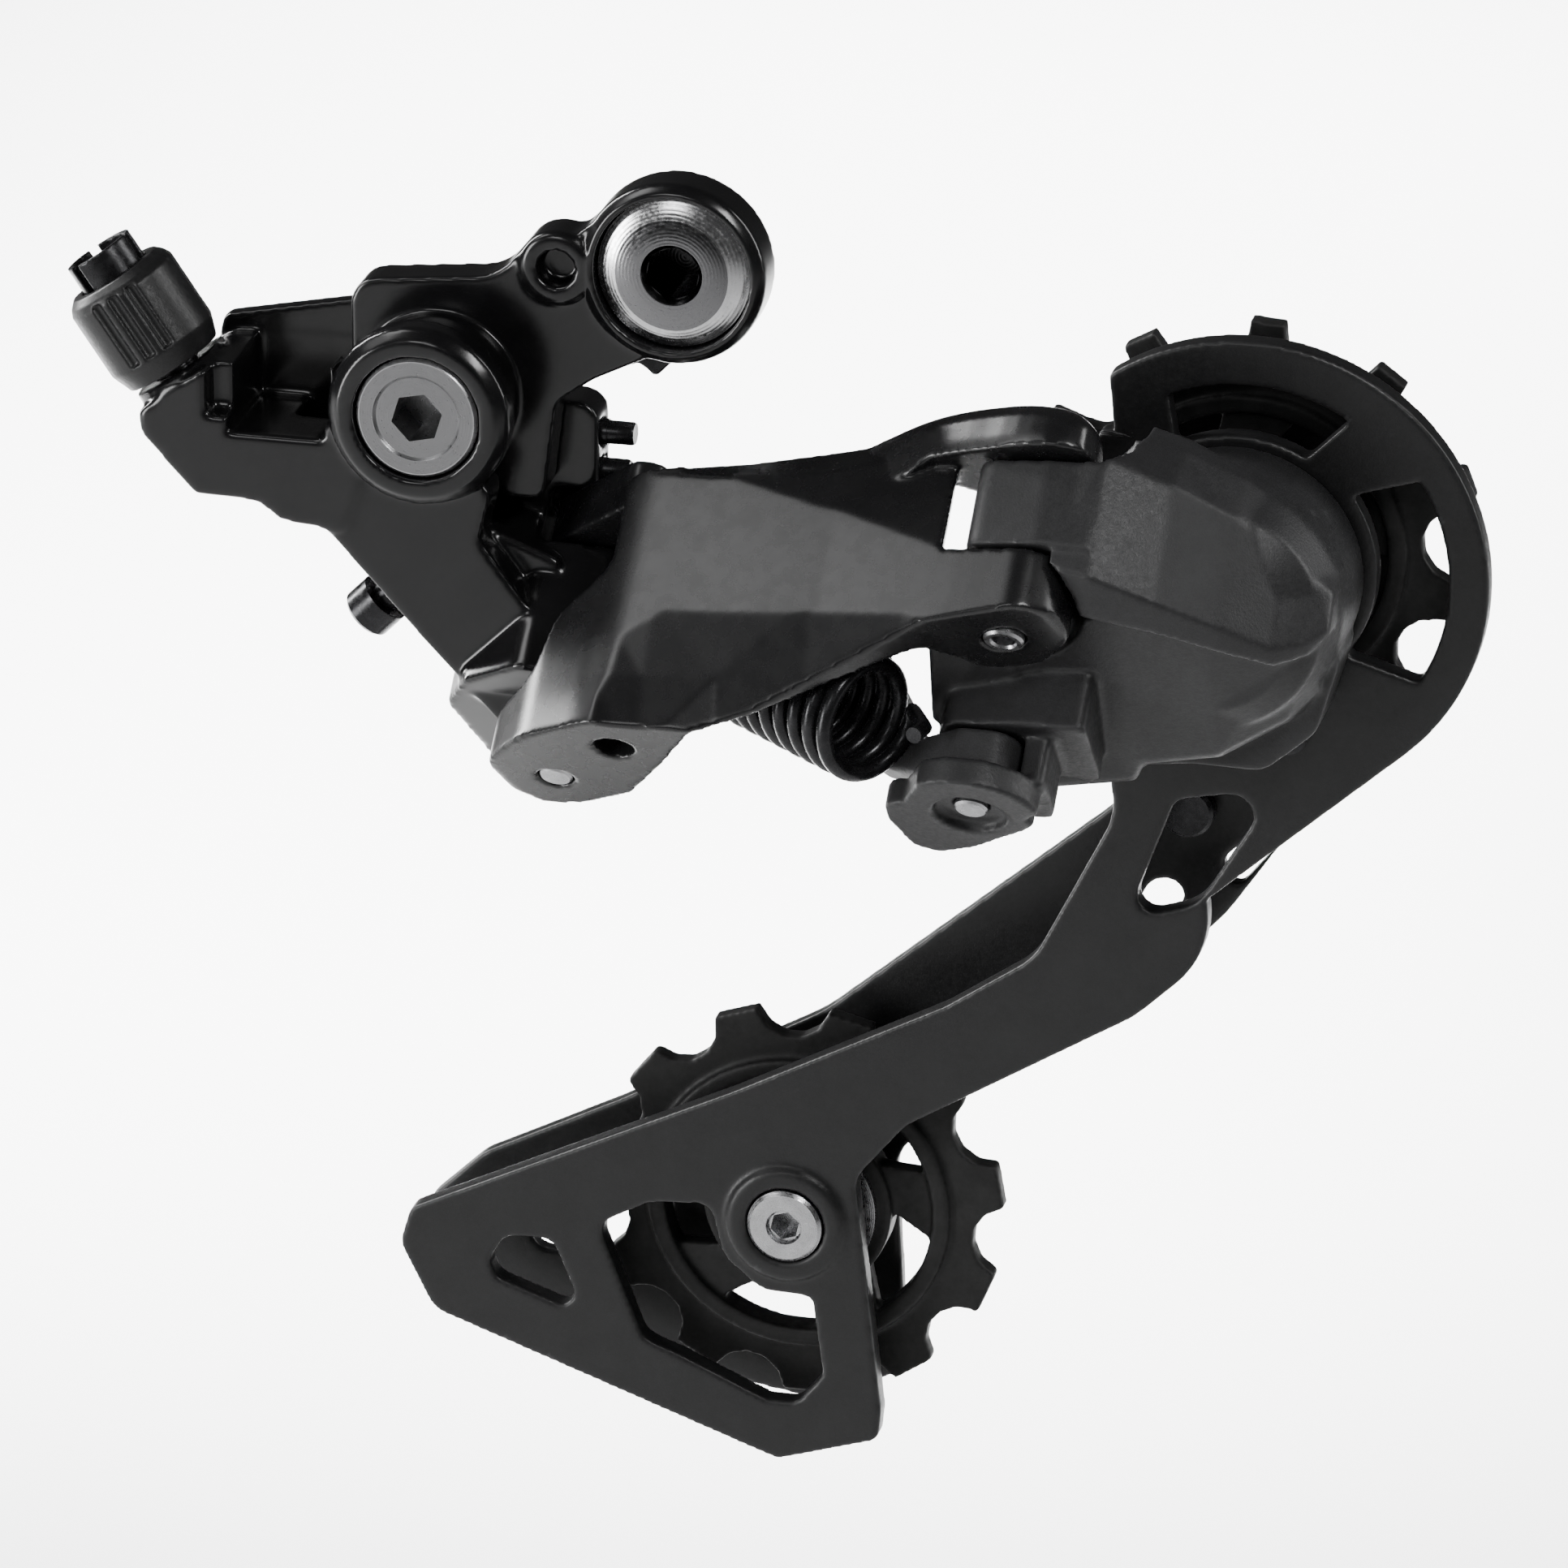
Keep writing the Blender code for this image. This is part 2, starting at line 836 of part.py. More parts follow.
# plan of the link looking down the pins: thick lobe, thin wall, round ear
plan = slab(
    "plan",
    [
        fillet(
            [
                (-6.8, 1.5, 4),
                (-6.2, -5.2, 5),
                (1.0, -9.8, 9),
                (11, -12.2, 16),
                (35, -8.7, 25),
                (50, -7.0, 10),
                (58, -6.0, 4),
                (60.6, -2.5, 4),
                (60.0, 3.0, 4),
                (54.5, 6.6, 4),
                (48.5, 4.6, 3),
                (45.0, -3.2, 3),
                (36, -4.8, 10),
                (20, -7.6, 6),
                (12.0, -4.0, 4),
                (7.0, 3.0, 4),
                (0.5, 6.2, 4),
                (-4.5, 5.4, 3),
            ]
        )
    ],
    -30,
    40,
    LINK,
)
mod = shell.modifiers.new("plan", "BOOLEAN")
mod.operation = "INTERSECT"
mod.solver = "EXACT"
mod.object = plan
shell.data = evaluated_mesh(shell)
shell.modifiers.clear()
bpy.data.objects.remove(plan)
upper_lug = slab(
    "upper_lug",
    [
        fillet(
            [
                (-5.2, 3.5, 3),
                (-5.2, -3.5, 3),
                (0, -6.0, 3),
                (9.5, -10.8, 2),
                (13, -8.8, 2),
                (8, -2.2, 3),
                (5.2, 3.0, 3),
                (1.0, 5.6, 3),
            ]
        )
    ],
    12.8,
    18.6,
    LINK,
)
# the upper ear sweeps out into a rounded horn over the P body's knuckle
def eased(rows, steps):
    """Rows of numbers with smooth ones added between each pair."""
    out = []
    last = len(rows) - 1
    for i in range(last):
        a, b = rows[i], rows[i + 1]
        before, after = rows[max(i - 1, 0)], rows[min(i + 2, last)]
        for k in range(steps):
            u = k / steps
            out.append(
                tuple(
                    0.5
                    * (
                        2 * q
                        + (r - o) * u
                        + (2 * o - 5 * q + 4 * r - v) * u * u
                        + (3 * q - o - 3 * r + v) * u**3
                    )
                    for o, q, r, v in zip(before, a, b, after)
                )
            )
    out.append(tuple(rows[-1]))
    return out


def horn_section(s, outer, inner, top):
    """One station of the horn: s, its outboard and inboard t, and its top w."""
    foot = 17.25 if s > 44.0 else 15.8
    tall = top - foot
    wide = inner - outer
    section = [(s, inner, foot)]
    for k in range(9):
        turn = math.pi * k / 8
        across = (inner + outer) / 2 + wide / 2 * math.copysign(
            abs(math.cos(turn)) ** 0.62, math.cos(turn)
        )
        section.append((s, across, foot + tall * (0.22 + 0.78 * math.sin(turn) ** 0.7)))
    section.append((s, outer, foot))
    return section


horn = loft(
    "horn",
    [
        horn_section(*row)
        for row in eased(
            [
                (29, -5.6, -4.6, 18.2),
                (36, -6.2, -4.4, 20.6),
                (42, -7.2, -3.2, 22.6),
                (47, -8.0, 2.0, 23.8),
                (51.5, -8.3, 5.2, 24.2),
                (55.5, -8.5, 5.4, 24.0),
                (59.0, -8.2, 4.0, 23.3),
                (61.3, -7.2, 0.4, 22.2),
                (62.5, -6.0, -3.0, 20.8),
            ],
            2,
        )
    ],
    LINK,
)


# floor of the lobe, carried on along the bottom of the wall
lobe_floor = slab(
    "lobe_floor",
    [
        fillet(
            [
                (-5.0, 4.4, 3),
                (-6.0, -5.0, 4),
                (1.0, -9.6, 6),
                (11, -12.0, 8),
                (23.0, -11.2, 1),
                (21.0, -7.4, 3),
                (13.5, -0.6, 4),
                (7.0, 4.6, 3),
                (0.5, 6.2, 4),
            ]
        )
    ],
    -14.3,
    -10.5,
    LINK,
)
shell = join(shell, upper_lug, lobe_floor)


def shaving(name, rows, drop, side_of):
    """Tool that leans a face back from a crease: rows are (s, w, depth, slope)."""
    sections = []
    for s, w, z, slope in rows:
        lean = math.tan(math.radians(slope))
        far = w + side_of * drop
        sections.append(
            [
                (s, w, z + 0.02),
                (s, w + side_of * drop * 0.5, z - drop * 0.5 * lean * 0.86),
                (s, far, z - drop * lean),
                (s, far, z + 12),
                (s, w, z + 12),
            ]
        )
    return loft(name, sections, face)


# depths of the outboard face where the creases run along it
shell = cut(
    shell,
    shaving(
        "lower_recess",
        [
            (4, 0.0, 14.5, 0),
            (10, 0.1, 12.9, 2),
            (16, 0.4, 11.7, 7),
            (24, 0.8, 10.7, 14),
            (34, 0.4, 9.2, 16),
            (45, -0.6, 7.8, 16),
            (66, -3.6, 6.4, 14),
        ],
        18,
        -1,
    ),
    shaving(
        "upper_facet",
        [
            (9, 16.0, 12.4, 11),
            (22, 13.8, 10.9, 12),
            (33, 10.6, 9.2, 13),
            (48.5, 6.0, 7.2, 13),
        ],
        20,
        1,
    ),
    shaving(
        "top_band",
        [
            (16, 15.4, 11.6, 30),
            (24, 15.7, 9.9, 34),
            (32, 16.4, 8.0, 34),
            (42, 18.0, 6.6, 34),
            (48, 18.4, 6.6, 20),
        ],
        10,
        1,
    ),
)
shell = join(shell, horn)
shell = cut(
    shell,
    # room for the B body's knuckle between the lobe and the upper lug
    slab(
        "bclear",
        [
            fillet(
                [(-12, -6.9), (5.5, -6.9, 4), (10.0, -4.5, 3), (10.0, 12), (-12, 12)]
            )
        ],
        -4.0,
        12.5,
        LINK,
    ),
    # window where the P body's knuckle stands between two ears; its walls lean
    slab(
        "window",
        [[(48.2, 6.2), (73.0, 6.2), (73.0, 17.25), (48.2, 17.25)]],
        -18,
        8,
        FLARE,
    ),
    rod("c1", 2.0, -30, 50, along(B_OUT, AX), 20),
    rod("c2", 2.35, -30, 50, along(P_OUT, AX), 20),
    rod("c4", 7.3, 6.25, 17.2, along(P_OUT, AX), 32),
    rod("c3", 2.2, -16, -11.0, along(B_OUT + SX * 10.6 - TY * 5.6, AX), 20),
)
origin_at(part(shell, GLOSS), B_OUT)

# ================================================================ link pins
for label, base, lo, hi, r in (
    ("outer_link_pin_b", B_OUT, -14.2, 18.4, 1.85),
    ("inner_link_pin_b", B_IN, 8.0, 27.4, 1.85),
    ("inner_link_pin_p", P_IN, -14.9, -3.4, 1.85),
):
    part(rod(label, r, lo, hi, along(base, AX), 20, 0.25), STEEL)

part(
    turned(
        "outer_link_pin_p",
        [(0, 21.6), (2.1, 21.6), (2.25, 21.4), (2.25, -1.6), (2.0, -1.9)]
        + [(1.5, -1.9), (1.3, -1.6), (1.3, 1.0), (0, 1.0)],
        along(P_OUT, AX),
        24,
    ),
    STEEL,
)

# ================================================================ inner link
inner_face = frame(B_IN, SX, AX)
inner = slab(
    "inner_link",
    [
        fillet(
            [
                (-5.4, 23.5, 2),
                (-5.4, 12.5, 2),
                (8.4, 12.5, 3),
                (24, 2.5, 5),
                (41, -9.0, 4),
                (48.5, -11.9, 1),
                (58.8, -11.9, 1),
                (58.8, -7.3, 0.6),
                (46.4, -7.3, 2),
                (43.0, -1.0, 4),
                (36, 9.5, 6),
                (23, 24.6, 3),
                (10, 30.6, 2.5),
                (5.8, 23.5, 1),
            ]
        )
    ],
    -12,
    12,
    inner_face,
)
inner_plan = slab(
    "inner_plan",
    [
        fillet(
            [
                (-5.0, 3.2, 3),
                (-5.0, -3.2, 3),
                (0, -5.0, 3),
                (5.0, -3.6, 2),
                (7.6, -1.4, 2),
                (44, -1.4, 5),
                (49, -3.8, 3),
                (53.4, -5.2, 3),
                (58.4, -3.2, 3),
                (58.4, 3.2, 3),
                (53.4, 5.2, 3),
                (47, 3.8, 4),
                (42, 2.2, 4),
                (12, 2.2, 4),
                (4, 4.6, 4),
                (0, 5.0, 3),
            ]
        )
    ],
    -40,
    50,
    frame(B_IN, SX, TY),
)
mod = inner.modifiers.new("plan", "BOOLEAN")
mod.operation = "INTERSECT"
mod.solver = "EXACT"
mod.object = inner_plan
inner.data = evaluated_mesh(inner)
inner.modifiers.clear()
bpy.data.objects.remove(inner_plan)
CLAMP = B_IN + SX * 13.0 + AX * 19.0
inner = cut(
    inner,
    rod("c1", 1.95, -40, 60, along(B_IN, AX), 20),
    rod("c2", 1.95, -40, 60, along(P_IN, AX), 20),
    rod("c3", 1.75, -12, 12, along(CLAMP, -TY), 16),
)
origin_at(part(inner, CAST), B_IN)

clamp_frame = along(CLAMP, -TY)
washer = slab(
    "cable_clamp_plate",
    [fillet([(-4.4, -3.4, 1), (4.4, -3.4, 1), (4.4, 4.0, 1), (-4.4, 4.0, 1)])]
    + [ring(0, 0, 1.9, 16)],
    1.7,
    2.9,
    clamp_frame,
)
part(washer, STEEL)
clamp = turned(
    "cable_clamp_bolt",
    [(0, 6.1), (2.9, 6.1), (3.3, 5.7), (3.3, 3.2), (1.65, 3.2), (1.65, -3.4)]
    + [(0, -3.4)],
    clamp_frame,
    20,
)
clamp = cut(clamp, slab("hex", [hexagon(3.0)], 4.0, 7.0, clamp_frame))
origin_at(part(clamp, STEEL), CLAMP)

# ================================================================ return spring
SPRING_B = B_OUT + TY * 3.6 + SX * 8.0 + AX * 6.5
SPRING_P = P_OUT + E1 * -12.6 + E2 * 8.0 + AX * -9.6
spring_dir = (SPRING_P - SPRING_B).normalized()
spring_len = (SPRING_P - SPRING_B).length
spring_frame = along(SPRING_B, spring_dir)
coil = helix(6.1, 5.0, spring_len - 2.2, 12, 10)
hook_b = [(0, 0, -1.5), (1.5, 0, 0.4), (4.0, 0, 2.2)]
hook_p = [(4.0, 0, spring_len + 1.6), (1.5, 0, spring_len + 2.6)]
part(
    wire("return_spring", hook_b + coil + hook_p, 0.92, spring_frame),
    BLACK_STEEL,
)

# ================================================================ P body
PF = side(*P_AXIS)
housing = turned(
    "p_body",
    [(0, 15.6), (9.6, 15.6), (12.6, 13.4), (14.0, 8.5), (14.2, -2.3), (0, -2.3)],
    PF,
    36,
)
knuckle = slab(
    "knuckle",
    [
        fillet(
            [
                (-5.3, -0.4, 3),
                (-4.8, -5.8, 2),
                (3, -7.2, 4),
                (9, -7.0, 1),
                (14, 0, 2),
                (20, 10, 2),
                (6, 12, 2),
                (-2.0, 6.2, 3),
            ]
        )
    ],
    6.6,
    16.85,
    PINS_P,
)


def cover_section(x, lip, ridge, crest, top):
    """One station of the front cover, through its creases, each (Y, Z)."""
    return [
        (x, -6.0, lip[1] - 0.4),
        (x, *lip),
        (x, *ridge),
        (x, *crest),
        (x, *top),
        (x, -6.0, top[1]),
    ]


cover = loft(
    "cover",
    [
        cover_section(45.4, (-24.6, -27.4), (-25.8, -22.2), (-16.8, -13.6), (-13, -13.0)),
        cover_section(50.5, (-25.2, -28.3), (-26.4, -23.0), (-17.3, -12.6), (-12, -12.1)),
        cover_section(57.5, (-23.8, -29.9), (-24.8, -26.0), (-16.5, -15.5), (-10, -14.0)),
        cover_section(64.0, (-21.8, -32.2), (-22.5, -29.1), (-14.6, -19.4), (-8.5, -17.2)),
        cover_section(69.0, (-18.4, -34.6), (-19.0, -32.4), (-13.2, -23.4), (-8, -20.6)),
        cover_section(72.4, (-15.9, -34.0), (-16.4, -32.4), (-12.7, -26.2), (-8, -24.0)),
        cover_section(74.4, (-14.0, -32.0), (-14.2, -31.2), (-12.0, -28.2), (-8.2, -27.4)),
    ],
)
lower_wall = loft(
    "lower_wall",
    [
        [
            (x, back, z0 + 1.2),
            (x, y0 + 2.0, z0),
            (x, y0, z0 + 1.0),
            (x, y1, z1),
            (x, back, z1),
        ]
        for x, y0, z0, y1, z1, back in (
            (31.8, -18.9, -45.0, -21.6, -31.5, -14.0),
            (40.2, -17.4, -46.0, -22.0, -31.0, -12.0),
            (41.6, -13.0, -54.2, -22.0, -31.0, 1.8),
            (52.4, -11.0, -53.0, -22.6, -28.6, 1.8),
            (53.6, -12.4, -50.4, -22.2, -28.9, 1.8),
            (62.0, -12.4, -48.8, -20.6, -31.3, 1.8),
            (69.4, -11.0, -44.4, -16.8, -34.0, 1.8),
            (72.4, -8.0, -42.0, -14.4, -33.4, 0.0),
        )
    ],
)
shoulder = slab(
    "shoulder",
    [
        fillet(
            [
                (45.5, -16.0, 1),
                (46.5, -33.0, 1),
                (43.0, -53.0, 2),
                (58.5, -51.2, 4),
                (66.0, -51.4, 4),
                (71.8, -46.4, 4),
                (74.4, -37.5, 3),
                (66, -22, 2),
            ]
        )
    ],
    -1.6,
    7.4,
    side(0, 0),
)
ear_outline = arc(0, 0, 8.0, -128, -12, 8) + fillet(
    [
        (7.8, 0.4, 2),
        (5.4, 3.0, 3),
        (-0.8, 8.2, 4),
        (-4.8, 10.2, 2),
        (-7.6, 9.0, 2),
        (-9.4, 3.4, 3),
        (-9.6, -1.6, 2),
    ]
)
PINS_PI = frame(P_IN, E1, E2)
ear = slab("ear", [ear_outline], -15.6, -12.3, PINS_PI)
ear_post = slab(
    "ear_post",
    [fillet([(5.0, -3.4, 1), (3.4, 5.0, 1), (8.2, 5.0, 1), (8.2, -4.0, 1)])],
    -12.8,
    2.6,
    PINS_PI,
)
ear_top = slab(
    "ear_top",
    [
        fillet(
            [
                (-5.2, 0.5, 2),
                (-3.6, -4.6, 2),
                (4, -5.6, 2),
                (12.0, -6.0, 1),
                (12.0, 7.0, 1),
                (4, 6.0, 2),
                (-3.0, 5.0, 2),
            ]
        )
    ],
    -7.0,
    2.0,
    PINS_PI,
)
p_body = join(housing, cover, knuckle, lower_wall, shoulder, ear_post, ear, ear_top)
p_body = cut(
    p_body,
    rod("c1", 2.3, 2, 20, along(P_OUT, AX), 20),
    rod("c2", 1.9, -20, -3.0, along(P_IN, AX), 20),
    rod("c3", 4.0, -20, -14.4, along(P_IN, AX), 24),
    rod("c8", 6.0, -12.3, -7.0, along(P_IN, AX), 28),
    rod("c6", 11.9, 16.9, 28, along(P_OUT, AX), 32),
    rod("c7", 7.95, -4, 6.55, along(P_OUT, AX), 28),
    rod("c4", 10.6, -4, 9.5, PF, 28),
    rod("c5", 4.05, -4, 13.0, PF, 24),
)
origin_at(part(p_body, CAST), (P_AXIS[0], 0, P_AXIS[1]))

part(
    tube("p_seal_ring", 13.6, 12.4, -2.75, -2.35, PF, 28),
    RUBBER,
)
part(
    wire("p_pivot_spring", helix(8.2, 0.2, 8.0, 3, 14), 0.95, PF),
    BLACK_STEEL,
)

# ================================================================ cage
OUT_FRONT, OUT_BACK = -3.1, -6.0  # depths on the outboard axis, negative = inboard
IN_FRONT, IN_BACK = -15.0, -17.0
arc_upper = arc(61.9, -32.5, 26.6, 126, -48, 15)
outer_outline = (
    arc_upper
    + fillet(
        [
            (59.1, -77.7, 25),
            (50.0, -86.4, 12),
            (24.0, -102.4, 5),
            (18.2, -109.5, 4),
            (21.3, -138.0, 1),
            (21.0, -141.6, 1.6),
            (9.3, -145.3, 2.5),
            (-31.0, -130.9, 4),
            (-34.9, -123.0, 3),
            (-33.6, -118.6, 2),
            (4, -100.4, 20),
            (28.5, -87.4, 10),
            (38.5, -80.5, 8),
            (47.5, -62.5, 8),
            (45.0, -44.0, 8),
            (44.0, -26.0, 6),
            (45.8, -12.5, 1),
        ],
        3,
    )
)


def windows(grow=0.0):
    g = grow
    top = arc(61.5, -32.3, 21.4 + g, 114, 58, 5) + arc(
        60.8, -31.7, 14.9 - g, 60, 118, 5
    )
    side_hole = arc(61.5, -32.3, 22.6 + g, 32, -30, 5) + arc(
        60.8, -31.7, 15.4 - g, -38, 36, 5
    )
    triangle = fillet(
        [(54.2, -60.0, 2), (65.6, -57.6, 3), (57.0, -72.2, 6), (48.8, -74.8, 2)], 2
    )
    slot = fillet(
        [
            (-24.4, -124.0, 1.5),
            (-22.6, -120.9, 2),
            (-17.0, -120.6, 2),
            (-14.2, -127.4, 1.5),
            (-15.6, -129.0, 1.2),
            (-23.6, -126.2, 2),
        ],
        2,
    )
    lower = fillet(
        [
            (-11.6, -118.2, 2),
            (-5.6, -114.9, 2),
            (1.5, -114.3, 2),
            (3.0, -120.6, 4),
            (7.5, -124.4, 4),
            (13.3, -124.6, 1),
            (14.6, -134.2, 1.5),
            (11.6, -138.0, 2),
            (8.0, -138.0, 2),
            (-2.4, -133.4, 2),
            (-6.4, -132.0, 3),
        ],
        2,
    )
    return top, side_hole, triangle, slot, lower


outer_plate = slab(
    "outer_cage_plate",
    [outer_outline, *windows()],
    OUT_BACK,
    OUT_FRONT,
    side(0, 0),
)
outer_plate = join(
    outer_plate,
    turned(
        "lower_boss",
        [(0, -2.3), (6.5, -2.3), (7.3, -3.3), (7.3, -5.0), (0, -5.0)],
        side(*T_AXIS),
        28,
    ),
    rod("inner_boss", 4.4, -7.4, -5.0, side(*T_AXIS), 28),
    rod("guide_boss", 4.6, -7.4, -5.0, PF, 28),
)
outer_plate = cut(
    outer_plate,
    rod("c1", 2.45, -9, 4, side(*T_AXIS), 24),
    rod("c2", 4.5, -3.9, 4, side(*T_AXIS), 32),
    rod("c3", 2.45, -9, 4, PF, 24),
    rod("c4", 1.55, -9, 4, side(66.6, -50.8), 16),
)
origin_at(part(outer_plate, SATIN), (P_AXIS[0], 0, P_AXIS[1]))

inner_outline = fillet(
    [
        (76.5, -43.0, 12),
        (72.0, -57.0, 12),
        (57.5, -78.6, 25),
        (49.0, -86.8, 12),
        (29.0, -101.4, 8),
        (20.2, -111.5, 5),
        (21.6, -138.0, 3),
        (12.0, -143.2, 6),
        (4.0, -142.0, 6),
        (-31.5, -130.2, 4),
        (-35.4, -123.2, 3),
        (-28.0, -116.2, 4),
        (-12.0, -108.0, 10),
        (11.8, -94.6, 20),
        (29.4, -79.6, 20),
        (46.5, -65.0, 8),
        (49.0, -52.0, 8),
        (46.0, -38.0, 10),
        (47.0, -20.0, 10),
        (61.0, -15.4, 12),
        (75.0, -21.0, 12),
    ],
    3,
)
inner_plate = slab(
    "inner_cage_plate",
    [
        inner_outline,
        fillet([(51.6, -80.5, 2.5), (46.8, -79.5, 2), (49.5, -74.2, 2.5), (53.5, -75.0, 2.5)]),
        fillet([(57.3, -71.5, 1.5), (62.0, -67.0, 1.5), (63.0, -70.0, 1.0), (58.6, -75.5, 1.5)]),
        fillet(
            [
                (-23.0, -124.5, 2),
                (-14.0, -120.0, 2),
                (-6.0, -116.0, 2),
                (-6.0, -121.0, 2),
                (-13.0, -128.0, 2),
                (-22.0, -127.5, 2),
            ]
        ),
        fillet(
            [
                (3.0, -126.5, 3),
                (10.5, -128.0, 3),
                (15.0, -126.0, 3),
                (15.5, -136.5, 3),
                (5.0, -138.5, 3),
                (0.5, -132.0, 3),
            ]
        ),
    ],
    IN_BACK,
    IN_FRONT,
    side(0, 0),
)
inner_plate = join(
    inner_plate,
    rod("boss_t", 4.4, -15.6, -13.5, side(*T_AXIS), 28),
    rod("boss_g", 4.6, -15.6, -13.5, PF, 28),
)
inner_plate = cut(
    inner_plate,
    rod("c1", 2.3, -20, -10, side(*T_AXIS), 24),
    rod("c2", 2.45, -20, -10, PF, 24),
    rod("c3", 1.6, -20, -10, side(53.6, -65.4), 16),
)
origin_at(part(inner_plate, SATIN), (P_AXIS[0], 0, P_AXIS[1]))

# pivot shaft of the cage, anchored in the outer plate and turning in the P body
p_axle = turned(
    "p_axle",
    [
        (0, 12.4),
        (3.95, 12.4),
        (3.95, -2.6),
        (7.6, -2.6),
        (7.6, -2.95),
        (1.9, -2.95),
        (1.9, 2.0),
        (0, 2.0),
    ],
    PF,
    24,
)
part(p_axle, STEEL)
part(
    turned(
        "cage_stop_pin",
        [(0, -2.3), (1.9, -2.3), (2.4, -2.6), (2.4, -2.95), (1.5, -2.95)]
        + [(1.5, -6.2), (0, -6.2)],
        side(66.6, -50.8),
        20,
    ),
    BLACK_STEEL,
)
part(
    turned(
        "inner_plate_screw",
        [(0, -12.6), (2.6, -12.6), (3.0, -13.0), (3.0, -14.7), (1.55, -14.7)]
        + [(1.55, -17.8), (0, -17.8)],
        side(53.6, -65.4),
        20,
    ),
    BLACK_STEEL,
)


# ================================================================ pulleys
def pulley(name, axis, tip_r, tip_half, phase, seat_r, seat_at):
    """Toothed wheel: roller seats on the pitch circle between square tips."""
    outline = []
    step = 2 * math.pi / PULLEY_TEETH
    for k in range(PULLEY_TEETH):
        mid = phase + step * k
        for sgn, order in ((-1, 0), (1, 1)):
            seat = mid + sgn * step / 2
            cx, cy = seat_at * math.cos(seat), seat_at * math.sin(seat)
            tooth_side = []
            for q in range(3):
                # from the seat's bottom up this tooth's flank
                turn = math.pi + sgn * math.radians(14 + 29 * q)
                tooth_side.append(
                    (
                        cx + seat_r * math.cos(seat + turn),
                        cy + seat_r * math.sin(seat + turn),
                    )
                )
            dx, dy = math.cos(mid), math.sin(mid)
            tooth_side.append(
                (
                    tip_r * dx - sgn * tip_half * dy,
                    tip_r * dy + sgn * tip_half * dx,
                )
            )
            outline += tooth_side if order == 0 else tooth_side[::-1]
    holes = []
    for k in range(5):
        a = math.degrees(phase) + 72 * k
        holes.append(
            arc(0, 0, 16.0, a + 8, a + 50, 3) + arc(0, 0, 10.6, a + 62, a + 22, 3)
        )
    wheel = slab(
        name,
        [outline, *holes],
        -PULLEY_Y - 1.1,
        -PULLEY_Y + 1.1,
        side(*axis),
    )
    wheel = join(
        wheel,
        turned(
            "rim",
            [(17.6, 1.9), (17.6, -1.9), (15.6, -1.9), (15.6, 1.9)],
            side(*axis) @ Matrix.Translation((0, 0, -PULLEY_Y)),
            22,
        ),
        tube(
            "hub",
            10.9,
            4.3,
            -2.2,
            2.2,
            side(*axis) @ Matrix.Translation((0, 0, -PULLEY_Y)),
            24,
        ),
    )
    wheel = cut(wheel, rod("bore", 5.55, -20, 0, side(*axis), 24))
    return wheel


for label, axis, tip, half, ph, seat_r, seat_at in (
    ("guide", P_AXIS, 26.0, 1.9, math.radians(20.8), ROLLER_R + 0.3, PITCH_R + 0.9),
    ("tension", T_AXIS, 23.6, 2.5, math.radians(10.0), ROLLER_R + 0.3, PITCH_R + 1.9),
):
    wheel = pulley(label + "_pulley", axis, tip, half, ph, seat_r, seat_at)
    origin_at(part(wheel, RESIN), (axis[0], PULLEY_Y, axis[1]))
    f = side(*axis) @ Matrix.Translation((0, 0, -PULLEY_Y))
    part(tube(label + "_bushing", 5.2, 2.45, -2.6, 2.6, f, 20), STEEL)
    for where, sgn in (("outer", 1), ("inner", -1)):
        a, b = sorted((sgn * 2.3, sgn * 2.95))
        part(tube("%s_cap_%s" % (label, where), 9.3, 5.35, a, b, f, 24), SILVER)

guide_bolt = turned(
    "guide_pulley_bolt",
    [(0, -3.3), (2.4, -3.3), (2.4, -17.2), (4.4, -17.2), (4.4, -18.6), (0, -18.6)],
    PF,
    28,
)
guide_bolt = cut(guide_bolt, slab("hex", [hexagon(3.0)], -19.5, -16.6, PF))
part(guide_bolt, STEEL)
t_frame = side(*T_AXIS)
tension_bolt = turned(
    "tension_pulley_bolt",
    [(0, -2.0), (3.9, -2.0), (4.3, -2.4), (4.3, -3.7), (2.4, -3.7), (2.4, -12.9)]
    + [(2.25, -12.9), (2.25, -17.4), (0, -17.4)],
    t_frame,
    24,
)
tension_bolt = cut(
    tension_bolt,
    slab("hex", [hexagon(3.0, 0.3)], -5.5, 0, t_frame),
    turned("mouth", [(0, -1.0), (2.6, -1.0), (1.75, -2.6), (0, -2.6)], t_frame, 24),
)
part(tension_bolt, STEEL)

for leftover in list(TOOLS.objects):
    bpy.data.objects.remove(leftover)
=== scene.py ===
"""Looks for a rear bicycle derailleur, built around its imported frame.

The design figures are millimetres in the row frame: +X to the front of the
bicycle, +Y inboard, +Z up, with the origin on the mounting bolt's axis.  Each
finished piece is scaled to metres, stands for its CAD node and rides on that
node's body.
"""

import json
import math

import bmesh
import bpy
from mathutils import Matrix, Vector

